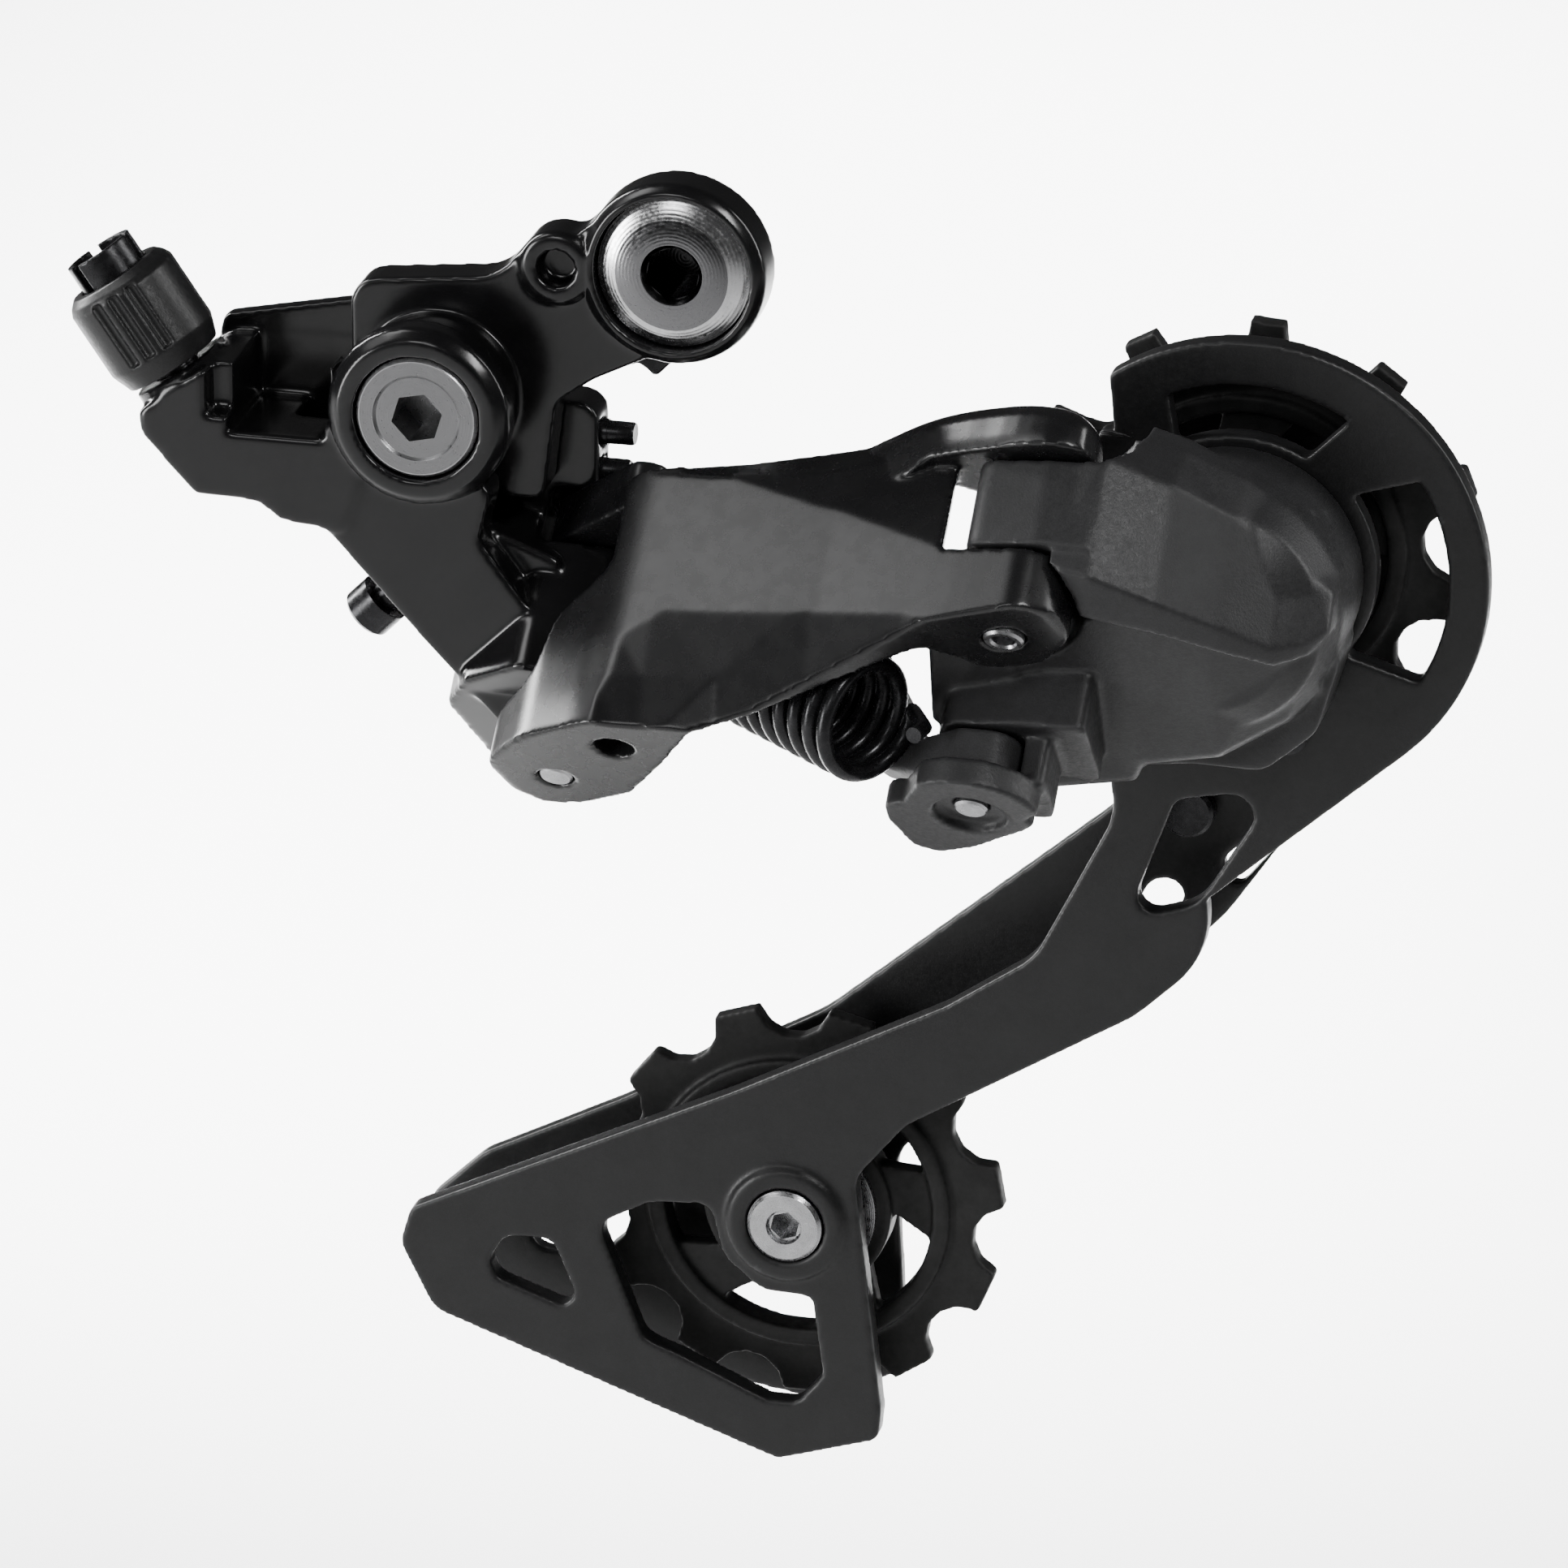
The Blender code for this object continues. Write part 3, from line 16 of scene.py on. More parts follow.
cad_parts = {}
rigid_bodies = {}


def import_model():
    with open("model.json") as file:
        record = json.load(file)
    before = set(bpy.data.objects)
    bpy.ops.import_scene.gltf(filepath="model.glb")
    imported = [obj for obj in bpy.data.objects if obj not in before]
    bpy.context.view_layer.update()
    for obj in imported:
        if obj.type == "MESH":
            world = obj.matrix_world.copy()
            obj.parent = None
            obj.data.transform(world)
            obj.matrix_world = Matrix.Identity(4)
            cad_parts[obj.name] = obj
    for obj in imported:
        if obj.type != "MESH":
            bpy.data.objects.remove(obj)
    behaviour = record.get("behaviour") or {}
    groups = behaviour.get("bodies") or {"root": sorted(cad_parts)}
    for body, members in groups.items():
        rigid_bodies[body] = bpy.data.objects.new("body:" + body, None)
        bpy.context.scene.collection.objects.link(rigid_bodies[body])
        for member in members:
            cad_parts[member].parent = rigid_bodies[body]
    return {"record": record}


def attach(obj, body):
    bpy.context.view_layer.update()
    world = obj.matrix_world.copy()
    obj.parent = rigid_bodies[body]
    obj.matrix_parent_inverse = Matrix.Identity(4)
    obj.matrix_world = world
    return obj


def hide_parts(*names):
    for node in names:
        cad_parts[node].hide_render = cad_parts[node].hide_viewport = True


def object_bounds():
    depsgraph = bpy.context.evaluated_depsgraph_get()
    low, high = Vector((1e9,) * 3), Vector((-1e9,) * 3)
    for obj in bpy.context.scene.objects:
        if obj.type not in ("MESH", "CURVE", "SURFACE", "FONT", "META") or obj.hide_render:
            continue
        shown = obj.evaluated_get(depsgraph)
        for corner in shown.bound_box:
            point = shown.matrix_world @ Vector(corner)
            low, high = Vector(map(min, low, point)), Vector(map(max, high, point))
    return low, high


for old in list(bpy.data.objects):
    bpy.data.objects.remove(old, do_unlink=True)
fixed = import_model()
CAD_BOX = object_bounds()
BODY_OF = {
    node: body
    for body, nodes in fixed["record"]["behaviour"]["bodies"].items()
    for node in nodes
}
MM = 0.001

# ---------------------------------------------------------------- driving sizes
CHAIN_PITCH = 12.7
PULLEY_TEETH = 11
ROLLER_R = 3.95
PITCH_R = CHAIN_PITCH / (2 * math.sin(math.pi / PULLEY_TEETH))

B_AXIS = (-26.2, -15.4)  # X, Z of the B pivot
P_AXIS = (60.8, -31.7)  # X, Z of the cage pivot and of the guide pulley
T_AXIS = (10.3, -115.8)  # X, Z of the tension pulley
PULLEY_Y = 10.4  # mid plane of both pulleys
LINK_LENGTH = 53.4  # between the two pins of a link
LINK_REST_DEG = -19.7  # the links rest this far outboard
PIN_SLANT = 48.0  # lean of the four link pins from vertical, to inboard
PIN_GAP = 15.0  # outer pin to inner pin, across the linkage
PIN_SHIFT = -3.5  # the inner pins sit this far behind the outer ones

GAP = 0.3
S = math.sin(math.radians(PIN_SLANT))
C = math.cos(math.radians(PIN_SLANT))
E1 = Vector((1, 0, 0))
E2 = Vector((0, C, -S))
AX = Vector((0, S, C))
P_OUT = Vector((41.3, -24.9, -30.0))  # outer pin at the P end, height 0 on AX
TH = math.radians(LINK_REST_DEG)
SX = E1 * math.cos(TH) + E2 * math.sin(TH)  # along a link, B end to P end
TY = -E1 * math.sin(TH) + E2 * math.cos(TH)  # across a link, to inboard
B_OUT = P_OUT - SX * LINK_LENGTH
ACROSS = E1 * PIN_SHIFT + E2 * PIN_GAP
P_IN = P_OUT + ACROSS
B_IN = B_OUT + ACROSS

# ---------------------------------------------------------------- materials
PARTS = bpy.data.collections.new("rear_derailleur_looks")
bpy.context.scene.collection.children.link(PARTS)
TOOLS = bpy.data.collections.new("work")
bpy.context.scene.collection.children.link(TOOLS)


class Nodes:
    """Short hand for building one material's node tree."""

    def __init__(self, name):
        self.mat = bpy.data.materials.new(name)
        self.mat.use_nodes = True
        self.tree = self.mat.node_tree
        self.shader = self.tree.nodes["Principled BSDF"]
        self.coords = self.add("ShaderNodeTexCoord")

    def add(self, kind, **settings):
        node = self.tree.nodes.new(kind)
        for key, value in settings.items():
            setattr(node, key, value)
        return node

    def link(self, a, b):
        self.tree.links.new(a, b)

    def noise(self, scale, detail=3.0, rough=0.6, where=None):
        node = self.add("ShaderNodeTexNoise")
        node.inputs["Scale"].default_value = scale
        node.inputs["Detail"].default_value = detail
        node.inputs["Roughness"].default_value = rough
        self.link(where or self.coords.outputs["Object"], node.inputs["Vector"])
        return node.outputs["Fac"]

    def ramp(self, fac, stops):
        node = self.add("ShaderNodeValToRGB")
        el = node.color_ramp.elements
        while len(el) < len(stops):
            el.new(0.5)
        for e, (pos, col) in zip(el, stops):
            e.position = pos
            e.color = (*col, 1) if isinstance(col, tuple) else (col, col, col, 1)
        self.link(fac, node.inputs["Fac"])
        return node.outputs["Color"]

    def span(self, fac, lo, hi):
        node = self.add("ShaderNodeMapRange")
        node.inputs["To Min"].default_value = lo
        node.inputs["To Max"].default_value = hi
        node.inputs["From Min"].default_value = 0.3
        node.inputs["From Max"].default_value = 0.7
        self.link(fac, node.inputs["Value"])
        return node.outputs["Result"]

    def calc(self, op, a, b=None):
        node = self.add("ShaderNodeMath", operation=op)
        for socket, v in zip(node.inputs, (a, b)):
            if v is None:
                continue
            if isinstance(v, (int, float)):
                socket.default_value = v
            else:
                self.link(v, socket)
        return node.outputs[0]

    def mix(self, fac, a, b):
        node = self.add("ShaderNodeMix", data_type="RGBA")
        for key, v in ((0, fac), (6, a), (7, b)):
            if isinstance(v, (int, float)):
                node.inputs[key].default_value = v
            elif isinstance(v, tuple):
                node.inputs[key].default_value = (*v, 1)
            else:
                self.link(v, node.inputs[key])
        return node.outputs[2]

    def bump(self, layers):
        """Each layer is (height, strength, distance in metres)."""
        last = None
        for height, strength, distance in layers:
            node = self.add("ShaderNodeBump")
            node.inputs["Strength"].default_value = strength
            node.inputs["Distance"].default_value = distance
            self.link(height, node.inputs["Height"])
            if last is not None:
                self.link(last, node.inputs["Normal"])
            last = node.outputs["Normal"]
        self.link(last, self.shader.inputs["Normal"])

    def worn_edges(self, lo, hi):
        """1 on convex edges, from the mesh's own curvature."""
        geo = self.add("ShaderNodeNewGeometry")
        node = self.add("ShaderNodeMapRange")
        node.inputs["From Min"].default_value = lo
        node.inputs["From Max"].default_value = hi
        self.link(geo.outputs["Pointiness"], node.inputs["Value"])
        return node.outputs["Result"]


def set_shader(n, colour, rough, metal=0.0, coat=0.0, coat_rough=0.1, spec=0.5):
    s = n.shader
    s.inputs["Specular IOR Level"].default_value = spec
    s.inputs["Base Color"].default_value = (*colour, 1)
    s.inputs["Roughness"].default_value = rough
    s.inputs["Metallic"].default_value = metal
    s.inputs["Coat Weight"].default_value = coat
    s.inputs["Coat Roughness"].default_value = coat_rough


def enamel(n, dark, light, rough=0.24, peel=0.25):
    """Sprayed gloss enamel: slight orange peel, soft cloudy sheen, rubbed edges."""
    set_shader(n, dark, rough, 0.0, 0.0, 0.08, 0.5)
    cloud = n.noise(160, 4)
    edges = n.worn_edges(0.52, 0.60)
    tone = n.mix(n.span(cloud, 0.0, 1.0), dark, light)
    n.link(n.mix(n.calc("MULTIPLY", edges, 0.35), tone, (0.035, 0.035, 0.036)),
           n.shader.inputs["Base Color"])
    n.link(n.span(n.noise(420, 3), rough - 0.015, rough + 0.02),
           n.shader.inputs["Roughness"])
    n.bump([(n.noise(900, 2), peel * 0.3, 0.00004), (n.noise(5200, 2), 0.08, 0.00001)])


def cast(n, dark, light, rough, grain=0.5, metal=0.0):
    """Blasted and anodised casting: fine even grain all over."""
    set_shader(n, dark, rough, metal, spec=0.4)
    tone = n.mix(n.span(n.noise(240, 4), 0.0, 1.0), dark, light)
    speck = n.span(n.noise(6500, 2, 0.7), 0.0, 1.0)
    edges = n.worn_edges(0.52, 0.60)
    tone = n.mix(n.calc("MULTIPLY", speck, 0.35), tone, tuple(c * 1.7 for c in light))
    n.link(n.mix(n.calc("MULTIPLY", edges, 0.45), tone, (0.05, 0.05, 0.052)),
           n.shader.inputs["Base Color"])
    n.link(n.span(n.noise(1800, 3), rough - 0.06, rough + 0.08),
           n.shader.inputs["Roughness"])
    n.bump([(n.noise(3600, 3, 0.65), grain, 0.00007), (n.noise(420, 3), 0.25, 0.00012)])


def resin(n, dark, light, rough=0.5):
    """Moulded pulley resin: faint flow clouds, dulled teeth."""
    set_shader(n, dark, rough, spec=0.25)
    tone = n.mix(n.span(n.noise(300, 4), 0.0, 1.0), dark, light)
    edges = n.worn_edges(0.52, 0.62)
    n.link(n.mix(n.calc("MULTIPLY", edges, 0.5), tone, (0.04, 0.04, 0.04)),
           n.shader.inputs["Base Color"])
    n.link(n.span(n.noise(900, 3), rough - 0.08, rough + 0.1),
           n.shader.inputs["Roughness"])
    n.bump([(n.noise(2600, 3), 0.35, 0.00006)])


def radial(n, x, z):
    """Distance in metres from an axis along Y through X, Z."""
    sep = n.add("ShaderNodeSeparateXYZ")
    n.link(n.coords.outputs["Object"], sep.inputs[0])
    dx = n.calc("SUBTRACT", sep.outputs["X"], x * MM)
    dz = n.calc("SUBTRACT", sep.outputs["Z"], z * MM)
    return n.calc("SQRT", n.calc("ADD", n.calc("MULTIPLY", dx, dx),
                                 n.calc("MULTIPLY", dz, dz)))


def turned_metal(n, dark, light, rough, centre, lines=9000.0, depth=0.5, painted_shade_zones=()):
    """Lathe-turned steel: fine rings around its axis, a few rubbed patches, and darker discs of
    painted shade given as zones.
    """
    set_shader(n, light, rough, 1.0)
    r = radial(n, *centre)
    rings = n.calc("SINE", n.calc("MULTIPLY", r, lines * 2 * math.pi * 0.5))
    jitter = n.noise(2500, 2)
    tone = n.mix(n.span(n.noise(260, 4), 0.0, 1.0), dark, light)
    # painted shade: each zone paints its colour inside its radius, darker than the turned metal,
    # in place of shade on a face or in a socket
    for edge, inside in painted_shade_zones:
        painted_shade_mask = n.calc("LESS_THAN", r, edge * MM)
        tone = n.mix(painted_shade_mask, tone, inside)
    n.link(tone, n.shader.inputs["Base Color"])
    n.link(n.span(n.calc("ADD", n.calc("MULTIPLY", rings, 0.08), jitter),
                  rough - 0.07, rough + 0.09), n.shader.inputs["Roughness"])
    n.bump([(rings, depth, 0.000006), (n.noise(4000, 2), 0.2, 0.00001)])


def plain_metal(n, dark, light, rough, metal=1.0, grain=0.25):
    """Machined or blackened steel with a light tumble finish."""
    set_shader(n, light, rough, metal)
    n.link(n.mix(n.span(n.noise(500, 4), 0.0, 1.0), dark, light),
           n.shader.inputs["Base Color"])
    n.link(n.span(n.noise(1400, 3), rough - 0.08, rough + 0.1),
           n.shader.inputs["Roughness"])
    n.bump([(n.noise(3800, 3), grain, 0.00003)])


GLOSS, CAST, SATIN, RESIN, SILVER = "gloss", "cast", "satin", "resin", "silver"
STEEL, BLACK_STEEL, RUBBER, BRASS = "steel", "black_steel", "rubber", "bronze"


def look_for(name, look):
    """One material per piece, so that each can carry its own axis and tone."""
    n = Nodes("mat_" + name)
    if name == "outer_link":
        enamel(n, (0.005, 0.005, 0.0055), (0.009, 0.009, 0.0095), 0.27, 0.2)
    elif name == "inner_link":
        cast(n, (0.020, 0.020, 0.021), (0.032, 0.032, 0.033), 0.50, 0.6)
    elif look == GLOSS:
        enamel(n, (0.004, 0.004, 0.0045), (0.007, 0.007, 0.0075), 0.2, 0.2)
    elif look == CAST:
        cast(n, (0.013, 0.013, 0.0135), (0.020, 0.020, 0.021), 0.44, 0.45)
    elif look == SATIN:
        cast(n, (0.006, 0.006, 0.0063), (0.010, 0.010, 0.0104), 0.38, 0.25)
    elif look == RESIN:
        resin(n, (0.008, 0.008, 0.008), (0.015, 0.015, 0.015))
    elif name == "mount_bolt":
        # painted shade: the inner flat inside 6.3 mm is painted darker than the cone ring, and
        # the hex socket inside 3.35 mm is painted near-black
        turned_metal(n, (0.60, 0.60, 0.61), (0.80, 0.80, 0.81), 0.2, (0, 0), 5200, 0.6,
                     ((6.3, (0.20, 0.20, 0.205)), (3.35, (0.035, 0.035, 0.036))))
    elif name == "b_axle_bolt":
        # painted shade: the face inside 6.4 mm, round the hex socket, is painted darker than the
        # ring
        turned_metal(n, (0.40, 0.40, 0.41), (0.52, 0.52, 0.53), 0.34, B_AXIS, 7000, 0.4,
                     ((6.4, (0.24, 0.24, 0.245)),))
    elif "guide_cap" in name:
        turned_metal(n, (0.40, 0.40, 0.41), (0.62, 0.62, 0.63), 0.3, P_AXIS)
    elif "tension_cap" in name:
        turned_metal(n, (0.40, 0.40, 0.41), (0.62, 0.62, 0.63), 0.3, T_AXIS)
    elif name == "tension_pulley_bolt":
        turned_metal(n, (0.40, 0.40, 0.41), (0.60, 0.60, 0.61), 0.28, T_AXIS)
    elif look == RUBBER:
        resin(n, (0.015, 0.015, 0.015), (0.024, 0.024, 0.024), 0.7)
    elif look == BRASS:
        plain_metal(n, (0.42, 0.28, 0.10), (0.55, 0.40, 0.17), 0.35)
    elif look == BLACK_STEEL:
        plain_metal(n, (0.012, 0.012, 0.013), (0.03, 0.03, 0.032), 0.26, 0.6)
    else:
        plain_metal(n, (0.34, 0.34, 0.35), (0.55, 0.55, 0.56), 0.3)
    return n.mat


# ---------------------------------------------------------------- frames
def frame(origin, x_axis, y_axis):
    """A matrix in millimetres whose X and Y run along the two directions."""
    x = Vector(x_axis).normalized()
    y = Vector(y_axis)
    y = (y - x * x.dot(y)).normalized()
    z = x.cross(y)
    m = Matrix((x, y, z)).transposed().to_4x4()
    m.translation = Vector(origin)
    return m


def side(x, z, y=0.0):
    """Flat outlines in X and Z, with the depth running outboard (-Y)."""
    return frame((x, y, z), (1, 0, 0), (0, 0, 1))


def along(origin, axis):
    """A frame whose Z is the axis."""
    z = Vector(axis).normalized()
    x = Vector((1, 0, 0)) if abs(z.x) < 0.8 else Vector((0, 1, 0))
    x = (x - z * z.dot(x)).normalized()
    return frame(origin, x, z.cross(x))


LINK = frame(B_OUT, SX, TY)  # s along, t across, w up the pins
PINS_P = frame(P_OUT, E1, E2)
PINS_B = frame(B_OUT, E1, E2)


# ---------------------------------------------------------------- solids
def finish(name, mesh, where=None):
    """A bare object holding this mesh in world millimetres."""
    bm = bmesh.new()
    bm.from_mesh(mesh)
    bmesh.ops.remove_doubles(bm, verts=bm.verts, dist=1e-4)
    bmesh.ops.dissolve_degenerate(bm, edges=bm.edges, dist=1e-5)
    if where is not None:
        bmesh.ops.transform(bm, matrix=where, verts=bm.verts)
    bmesh.ops.recalc_face_normals(bm, faces=bm.faces)
    bm.to_mesh(mesh)
    bm.free()
    obj = bpy.data.objects.new(name, mesh)
    TOOLS.objects.link(obj)
    return obj


def evaluated_mesh(obj):
    bpy.context.view_layer.update()
    graph = bpy.context.evaluated_depsgraph_get()
    return bpy.data.meshes.new_from_object(obj.evaluated_get(graph))


def fillet(points, steps=2):
    """Corners given as (x, y) or (x, y, radius), rounded with short arcs."""
    steps = max(6, steps * 3)
    out = []
    count = len(points)
    for i, p in enumerate(points):
        here = Vector(p[:2])
        radius = p[2] if len(p) > 2 else 0.0
        if radius <= 0:
            out.append(tuple(here))
            continue
        a = Vector(points[i - 1][:2]) - here
        b = Vector(points[(i + 1) % count][:2]) - here
        la, lb = a.length, b.length
        a.normalize()
        b.normalize()
        half = math.acos(max(-1, min(1, a.dot(b)))) / 2
        if half > math.pi / 2 - 0.03:
            out.append(tuple(here))
            continue
        run = min(radius / math.tan(half), la * 0.49, lb * 0.49)
        r = run * math.tan(half)
        centre = here + (a + b).normalized() * (r / math.sin(half))
        start = here + a * run - centre
        turn = math.pi - 2 * half
        if a.x * b.y - a.y * b.x > 0:
            turn = -turn
        for k in range(steps + 1):
            t = turn * k / steps
            out.append(
                (
                    centre.x + start.x * math.cos(t) - start.y * math.sin(t),
                    centre.y + start.x * math.sin(t) + start.y * math.cos(t),
                )
            )
    return out


def ring(x, y, r, n=24, phase=0.0):
    n = n if n == 6 else n * 3
    return [
        (
            x + r * math.cos(phase + 2 * math.pi * k / n),
            y + r * math.sin(phase + 2 * math.pi * k / n),
        )
        for k in range(n)
    ]


def arc(x, y, r, a0, a1, n):
    n = n * 4
    return [
        (
            x + r * math.cos(math.radians(a0 + (a1 - a0) * k / n)),
            y + r * math.sin(math.radians(a0 + (a1 - a0) * k / n)),
        )
        for k in range(n + 1)
    ]


def slab(name, outlines, z0, z1, where):
    """A flat outline with holes, extruded from z0 to z1 of its frame."""
    curve = bpy.data.curves.new(name, "CURVE")
    curve.dimensions = "2D"
    curve.fill_mode = "BOTH"
    curve.extrude = (z1 - z0) / 2
    for outline in outlines:
        spline = curve.splines.new("POLY")
        spline.points.add(len(outline) - 1)
        for point, (x, y) in zip(spline.points, outline):
            point.co = (x, y, 0, 1)
        spline.use_cyclic_u = True
    tmp = bpy.data.objects.new(name + "_outline", curve)
    TOOLS.objects.link(tmp)
    mesh = evaluated_mesh(tmp)
    bpy.data.objects.remove(tmp)
    return finish(
        name, mesh, where @ Matrix.Translation((0, 0, (z0 + z1) / 2))
    )


def turned(name, profile, where, steps=24):
    """A profile of (radius, height), top to bottom down the outer side."""
    mesh = bpy.data.meshes.new(name)
    closed = profile[0][0] > 1e-6
    verts = [(r, 0, h) for r, h in profile]
    edges = [(k, k + 1) for k in range(len(verts) - 1)]
    if closed:
        edges.append((len(verts) - 1, 0))
    mesh.from_pydata(verts, edges, [])
    tmp = bpy.data.objects.new(name + "_profile", mesh)
    TOOLS.objects.link(tmp)
    screw = tmp.modifiers.new("turn", "SCREW")
    screw.steps = screw.render_steps = max(64, steps * 3)
    screw.use_merge_vertices = True
    screw.merge_threshold = 0.0001
    out = evaluated_mesh(tmp)
    bpy.data.objects.remove(tmp)
    return finish(name, out, where)


def rod(name, r, h0, h1, where, steps=20, edge=0.0):
    if edge > 0:
        prof = [(0, h1), (r - edge, h1), (r, h1 - edge), (r, h0 + edge)]
        prof += [(r - edge, h0), (0, h0)]
    else:
        prof = [(0, h1), (r, h1), (r, h0), (0, h0)]
    return turned(name, prof, where, steps)


def tube(name, r_out, r_in, h0, h1, where, steps=24):
    return turned(
        name, [(r_out, h1), (r_out, h0), (r_in, h0), (r_in, h1)], where, steps
    )


def block(name, lo, hi, where=None):
    bm = bmesh.new()
    bmesh.ops.create_cube(bm, size=1.0)
    for v in bm.verts:
        v.co = Vector(
            [lo[i] + (v.co[i] + 0.5) * (hi[i] - lo[i]) for i in range(3)]
        )
    mesh = bpy.data.meshes.new(name)
    bm.to_mesh(mesh)
    bm.free()
    return finish(name, mesh, where)


def hexagon(across_flats, phase=0.0):
    return ring(0, 0, across_flats / math.sqrt(3), 6, phase)


def wire(name, points, radius, where=None, sides=4):
    """Round wire with filled ends along these points."""
    curve = bpy.data.curves.new(name, "CURVE")
    curve.dimensions = "3D"
    curve.bevel_depth = radius
    curve.bevel_resolution = sides
    curve.use_fill_caps = True
    spline = curve.splines.new("POLY")
    spline.points.add(len(points) - 1)
    for point, co in zip(spline.points, points):
        point.co = (*co, 1)
    tmp = bpy.data.objects.new(name + "_path", curve)
    TOOLS.objects.link(tmp)
    mesh = evaluated_mesh(tmp)
    bpy.data.objects.remove(tmp)
    return finish(name, mesh, where)


def helix(r, h0, h1, turns, per_turn=14, start=0.0):
    n = int(turns * per_turn) * 4
    return [
        (
            r * math.cos(start + 2 * math.pi * turns * k / n),
            r * math.sin(start + 2 * math.pi * turns * k / n),
            h0 + (h1 - h0) * k / n,
        )
        for k in range(n + 1)
    ]


def loft(name, sections, where=None):
    """Skins closed sections of equal point count, with flat ends."""
    bm = bmesh.new()
    rows = [[bm.verts.new(p) for p in sec] for sec in sections]
    n = len(rows[0])
    for a, b in zip(rows, rows[1:]):
        for k in range(n):
            bm.faces.new((a[k], a[(k + 1) % n], b[(k + 1) % n], b[k]))
    bm.faces.new(rows[0])
    bm.faces.new(rows[-1])
    bmesh.ops.triangulate(bm, faces=bm.faces)
    mesh = bpy.data.meshes.new(name)
    bm.to_mesh(mesh)
    bm.free()
    return finish(name, mesh, where)


def volume(mesh):
    bm = bmesh.new()
    bm.from_mesh(mesh)
    out = bm.calc_volume(signed=True)
    bm.free()
    return out


def combine(base, others, operation):
    for other in others:
        before = volume(base.data)
        for solver in ("MANIFOLD", "EXACT"):
            mod = base.modifiers.new("step", "BOOLEAN")
            mod.operation = operation
            mod.solver = solver
            mod.object = other
            mesh = evaluated_mesh(base)
            base.modifiers.clear()
            after = volume(mesh)
            if after > (0.2 if operation == "DIFFERENCE" else 0.99) * before:
                break
        base.data = mesh
        bpy.data.objects.remove(other)
    return base


def join(base, *others):
    return combine(base, others, "UNION")


def cut(base, *others):
    return combine(base, others, "DIFFERENCE")


# size in millimetres of the cells that a cast or moulded skin is rebuilt from,
# and how many times its edges are then eased
SKIN = {
    "b_body": (0.36, 5),
    "outer_link": (0.34, 5),
    "p_body": (0.36, 6),
    "inner_link": (0.34, 4),
    "bracket_link": (0.30, 5),
    "outer_cage_plate": (0.36, 3),
    "inner_cage_plate": (0.36, 3),
    "guide_pulley": (0.30, 3),
    "tension_pulley": (0.30, 3),
    "stopper_plate": (0.24, 2),
    "barrel_knob": (0.16, 3),
    "barrel_screw": (0.16, 2),
    "cable_clamp_plate": (0.16, 2),
}


def apply_modifier(obj, kind, **settings):
    mod = obj.modifiers.new("step", kind)
    for key, value in settings.items():
        setattr(mod, key, value)
    mesh = evaluated_mesh(obj)
    obj.modifiers.clear()
    obj.data = mesh


def part(obj, look, smooth=True):
    """Finishes a solid: eased skin, metres, material, body and CAD node."""
    name = obj.name.split(".")[0]
    if name in SKIN:
        cell, eased = SKIN[name]
        apply_modifier(
            obj, "REMESH", mode="VOXEL", voxel_size=cell, use_smooth_shade=True
        )
        if eased:
            apply_modifier(obj, "SMOOTH", factor=0.5, iterations=eased)
    bm = bmesh.new()
    bm.from_mesh(obj.data)
    bmesh.ops.scale(bm, vec=(MM, MM, MM), verts=bm.verts)
    bmesh.ops.recalc_face_normals(bm, faces=bm.faces)
    if bm.calc_volume(signed=True) < 0:
        bmesh.ops.reverse_faces(bm, faces=bm.faces)
    bm.to_mesh(obj.data)
    bm.free()
    TOOLS.objects.unlink(obj)
    PARTS.objects.link(obj)
    obj.name = name + "_skin"
    obj.data.name = name + "_skin"
    obj.data.materials.clear()
    obj.data.materials.append(look_for(name, look))
    obj.data.polygons.foreach_set("use_smooth", [True] * len(obj.data.polygons))
    if name not in SKIN:
        obj.data.set_sharp_from_angle(angle=math.radians(32))
    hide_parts(name)
    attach(obj, BODY_OF[name])
    return obj


def origin_at(obj, point):
    """Left where it is: every piece rides on its body in the row frame."""
    return obj


# ================================================================ bracket
SEAT = -1.5  # rear face of the bracket link, ahead of the stopper plate
ARM_FRONT = -6.5
MOUNT_BORE_R = 5.1
arm = slab(
    "bracket_link",
    [
        fillet(
            [
                (-36.2, -17, 3),
                (-36.2, -3.6, 3.2),
                (-19.5, -1.9, 6),
                (-15.5, 3.2, 3),
                (-10.5, 3.6, 3),
                (-6.5, 7.6, 2),
                (2, 8, 2),
                (5, -6, 2),
                (-2, -9.5, 2),
                (-9, -13.0, 2.5),
                (-13.2, -16, 2.5),
                (-14.6, -27.2, 1.5),
                (-19, -27.6, 2),
                (-21, -24.5, 2),
                (-28, -25.8, 5),
            ]
        )
    ],
    -SEAT,
    -ARM_FRONT,
    side(0, 0),
)
boss = turned(
    "boss",
    [(0, 7.3), (9.3, 7.3), (10.3, 6.4), (10.3, 1.5), (0, 1.5)],
    side(0, 0),
    36,
)
barrel = rod("barrel", 8.8, 4.0, 12.0, side(*B_AXIS), 36, 0.4)
bump = rod("bump", 4.2, 1.5, 7.2, side(-12.9, -0.3), 24, 0.5)
bracket = join(arm, boss, barrel, bump)
bracket = cut(
    bracket,
    rod("c1", MOUNT_BORE_R, 0, 12, side(0, 0), 28),
    rod("c2", 8.75, 4.6, 12, side(0, 0), 28),
    rod("c3", 2.1, 4.5, 12, side(-12.9, -0.3), 20),
    rod("c4", 3.05, 0, 20, side(*B_AXIS), 24),
    rod("c5", 7.0, 6.0, 20, side(*B_AXIS), 32),
)
part(bracket, GLOSS)

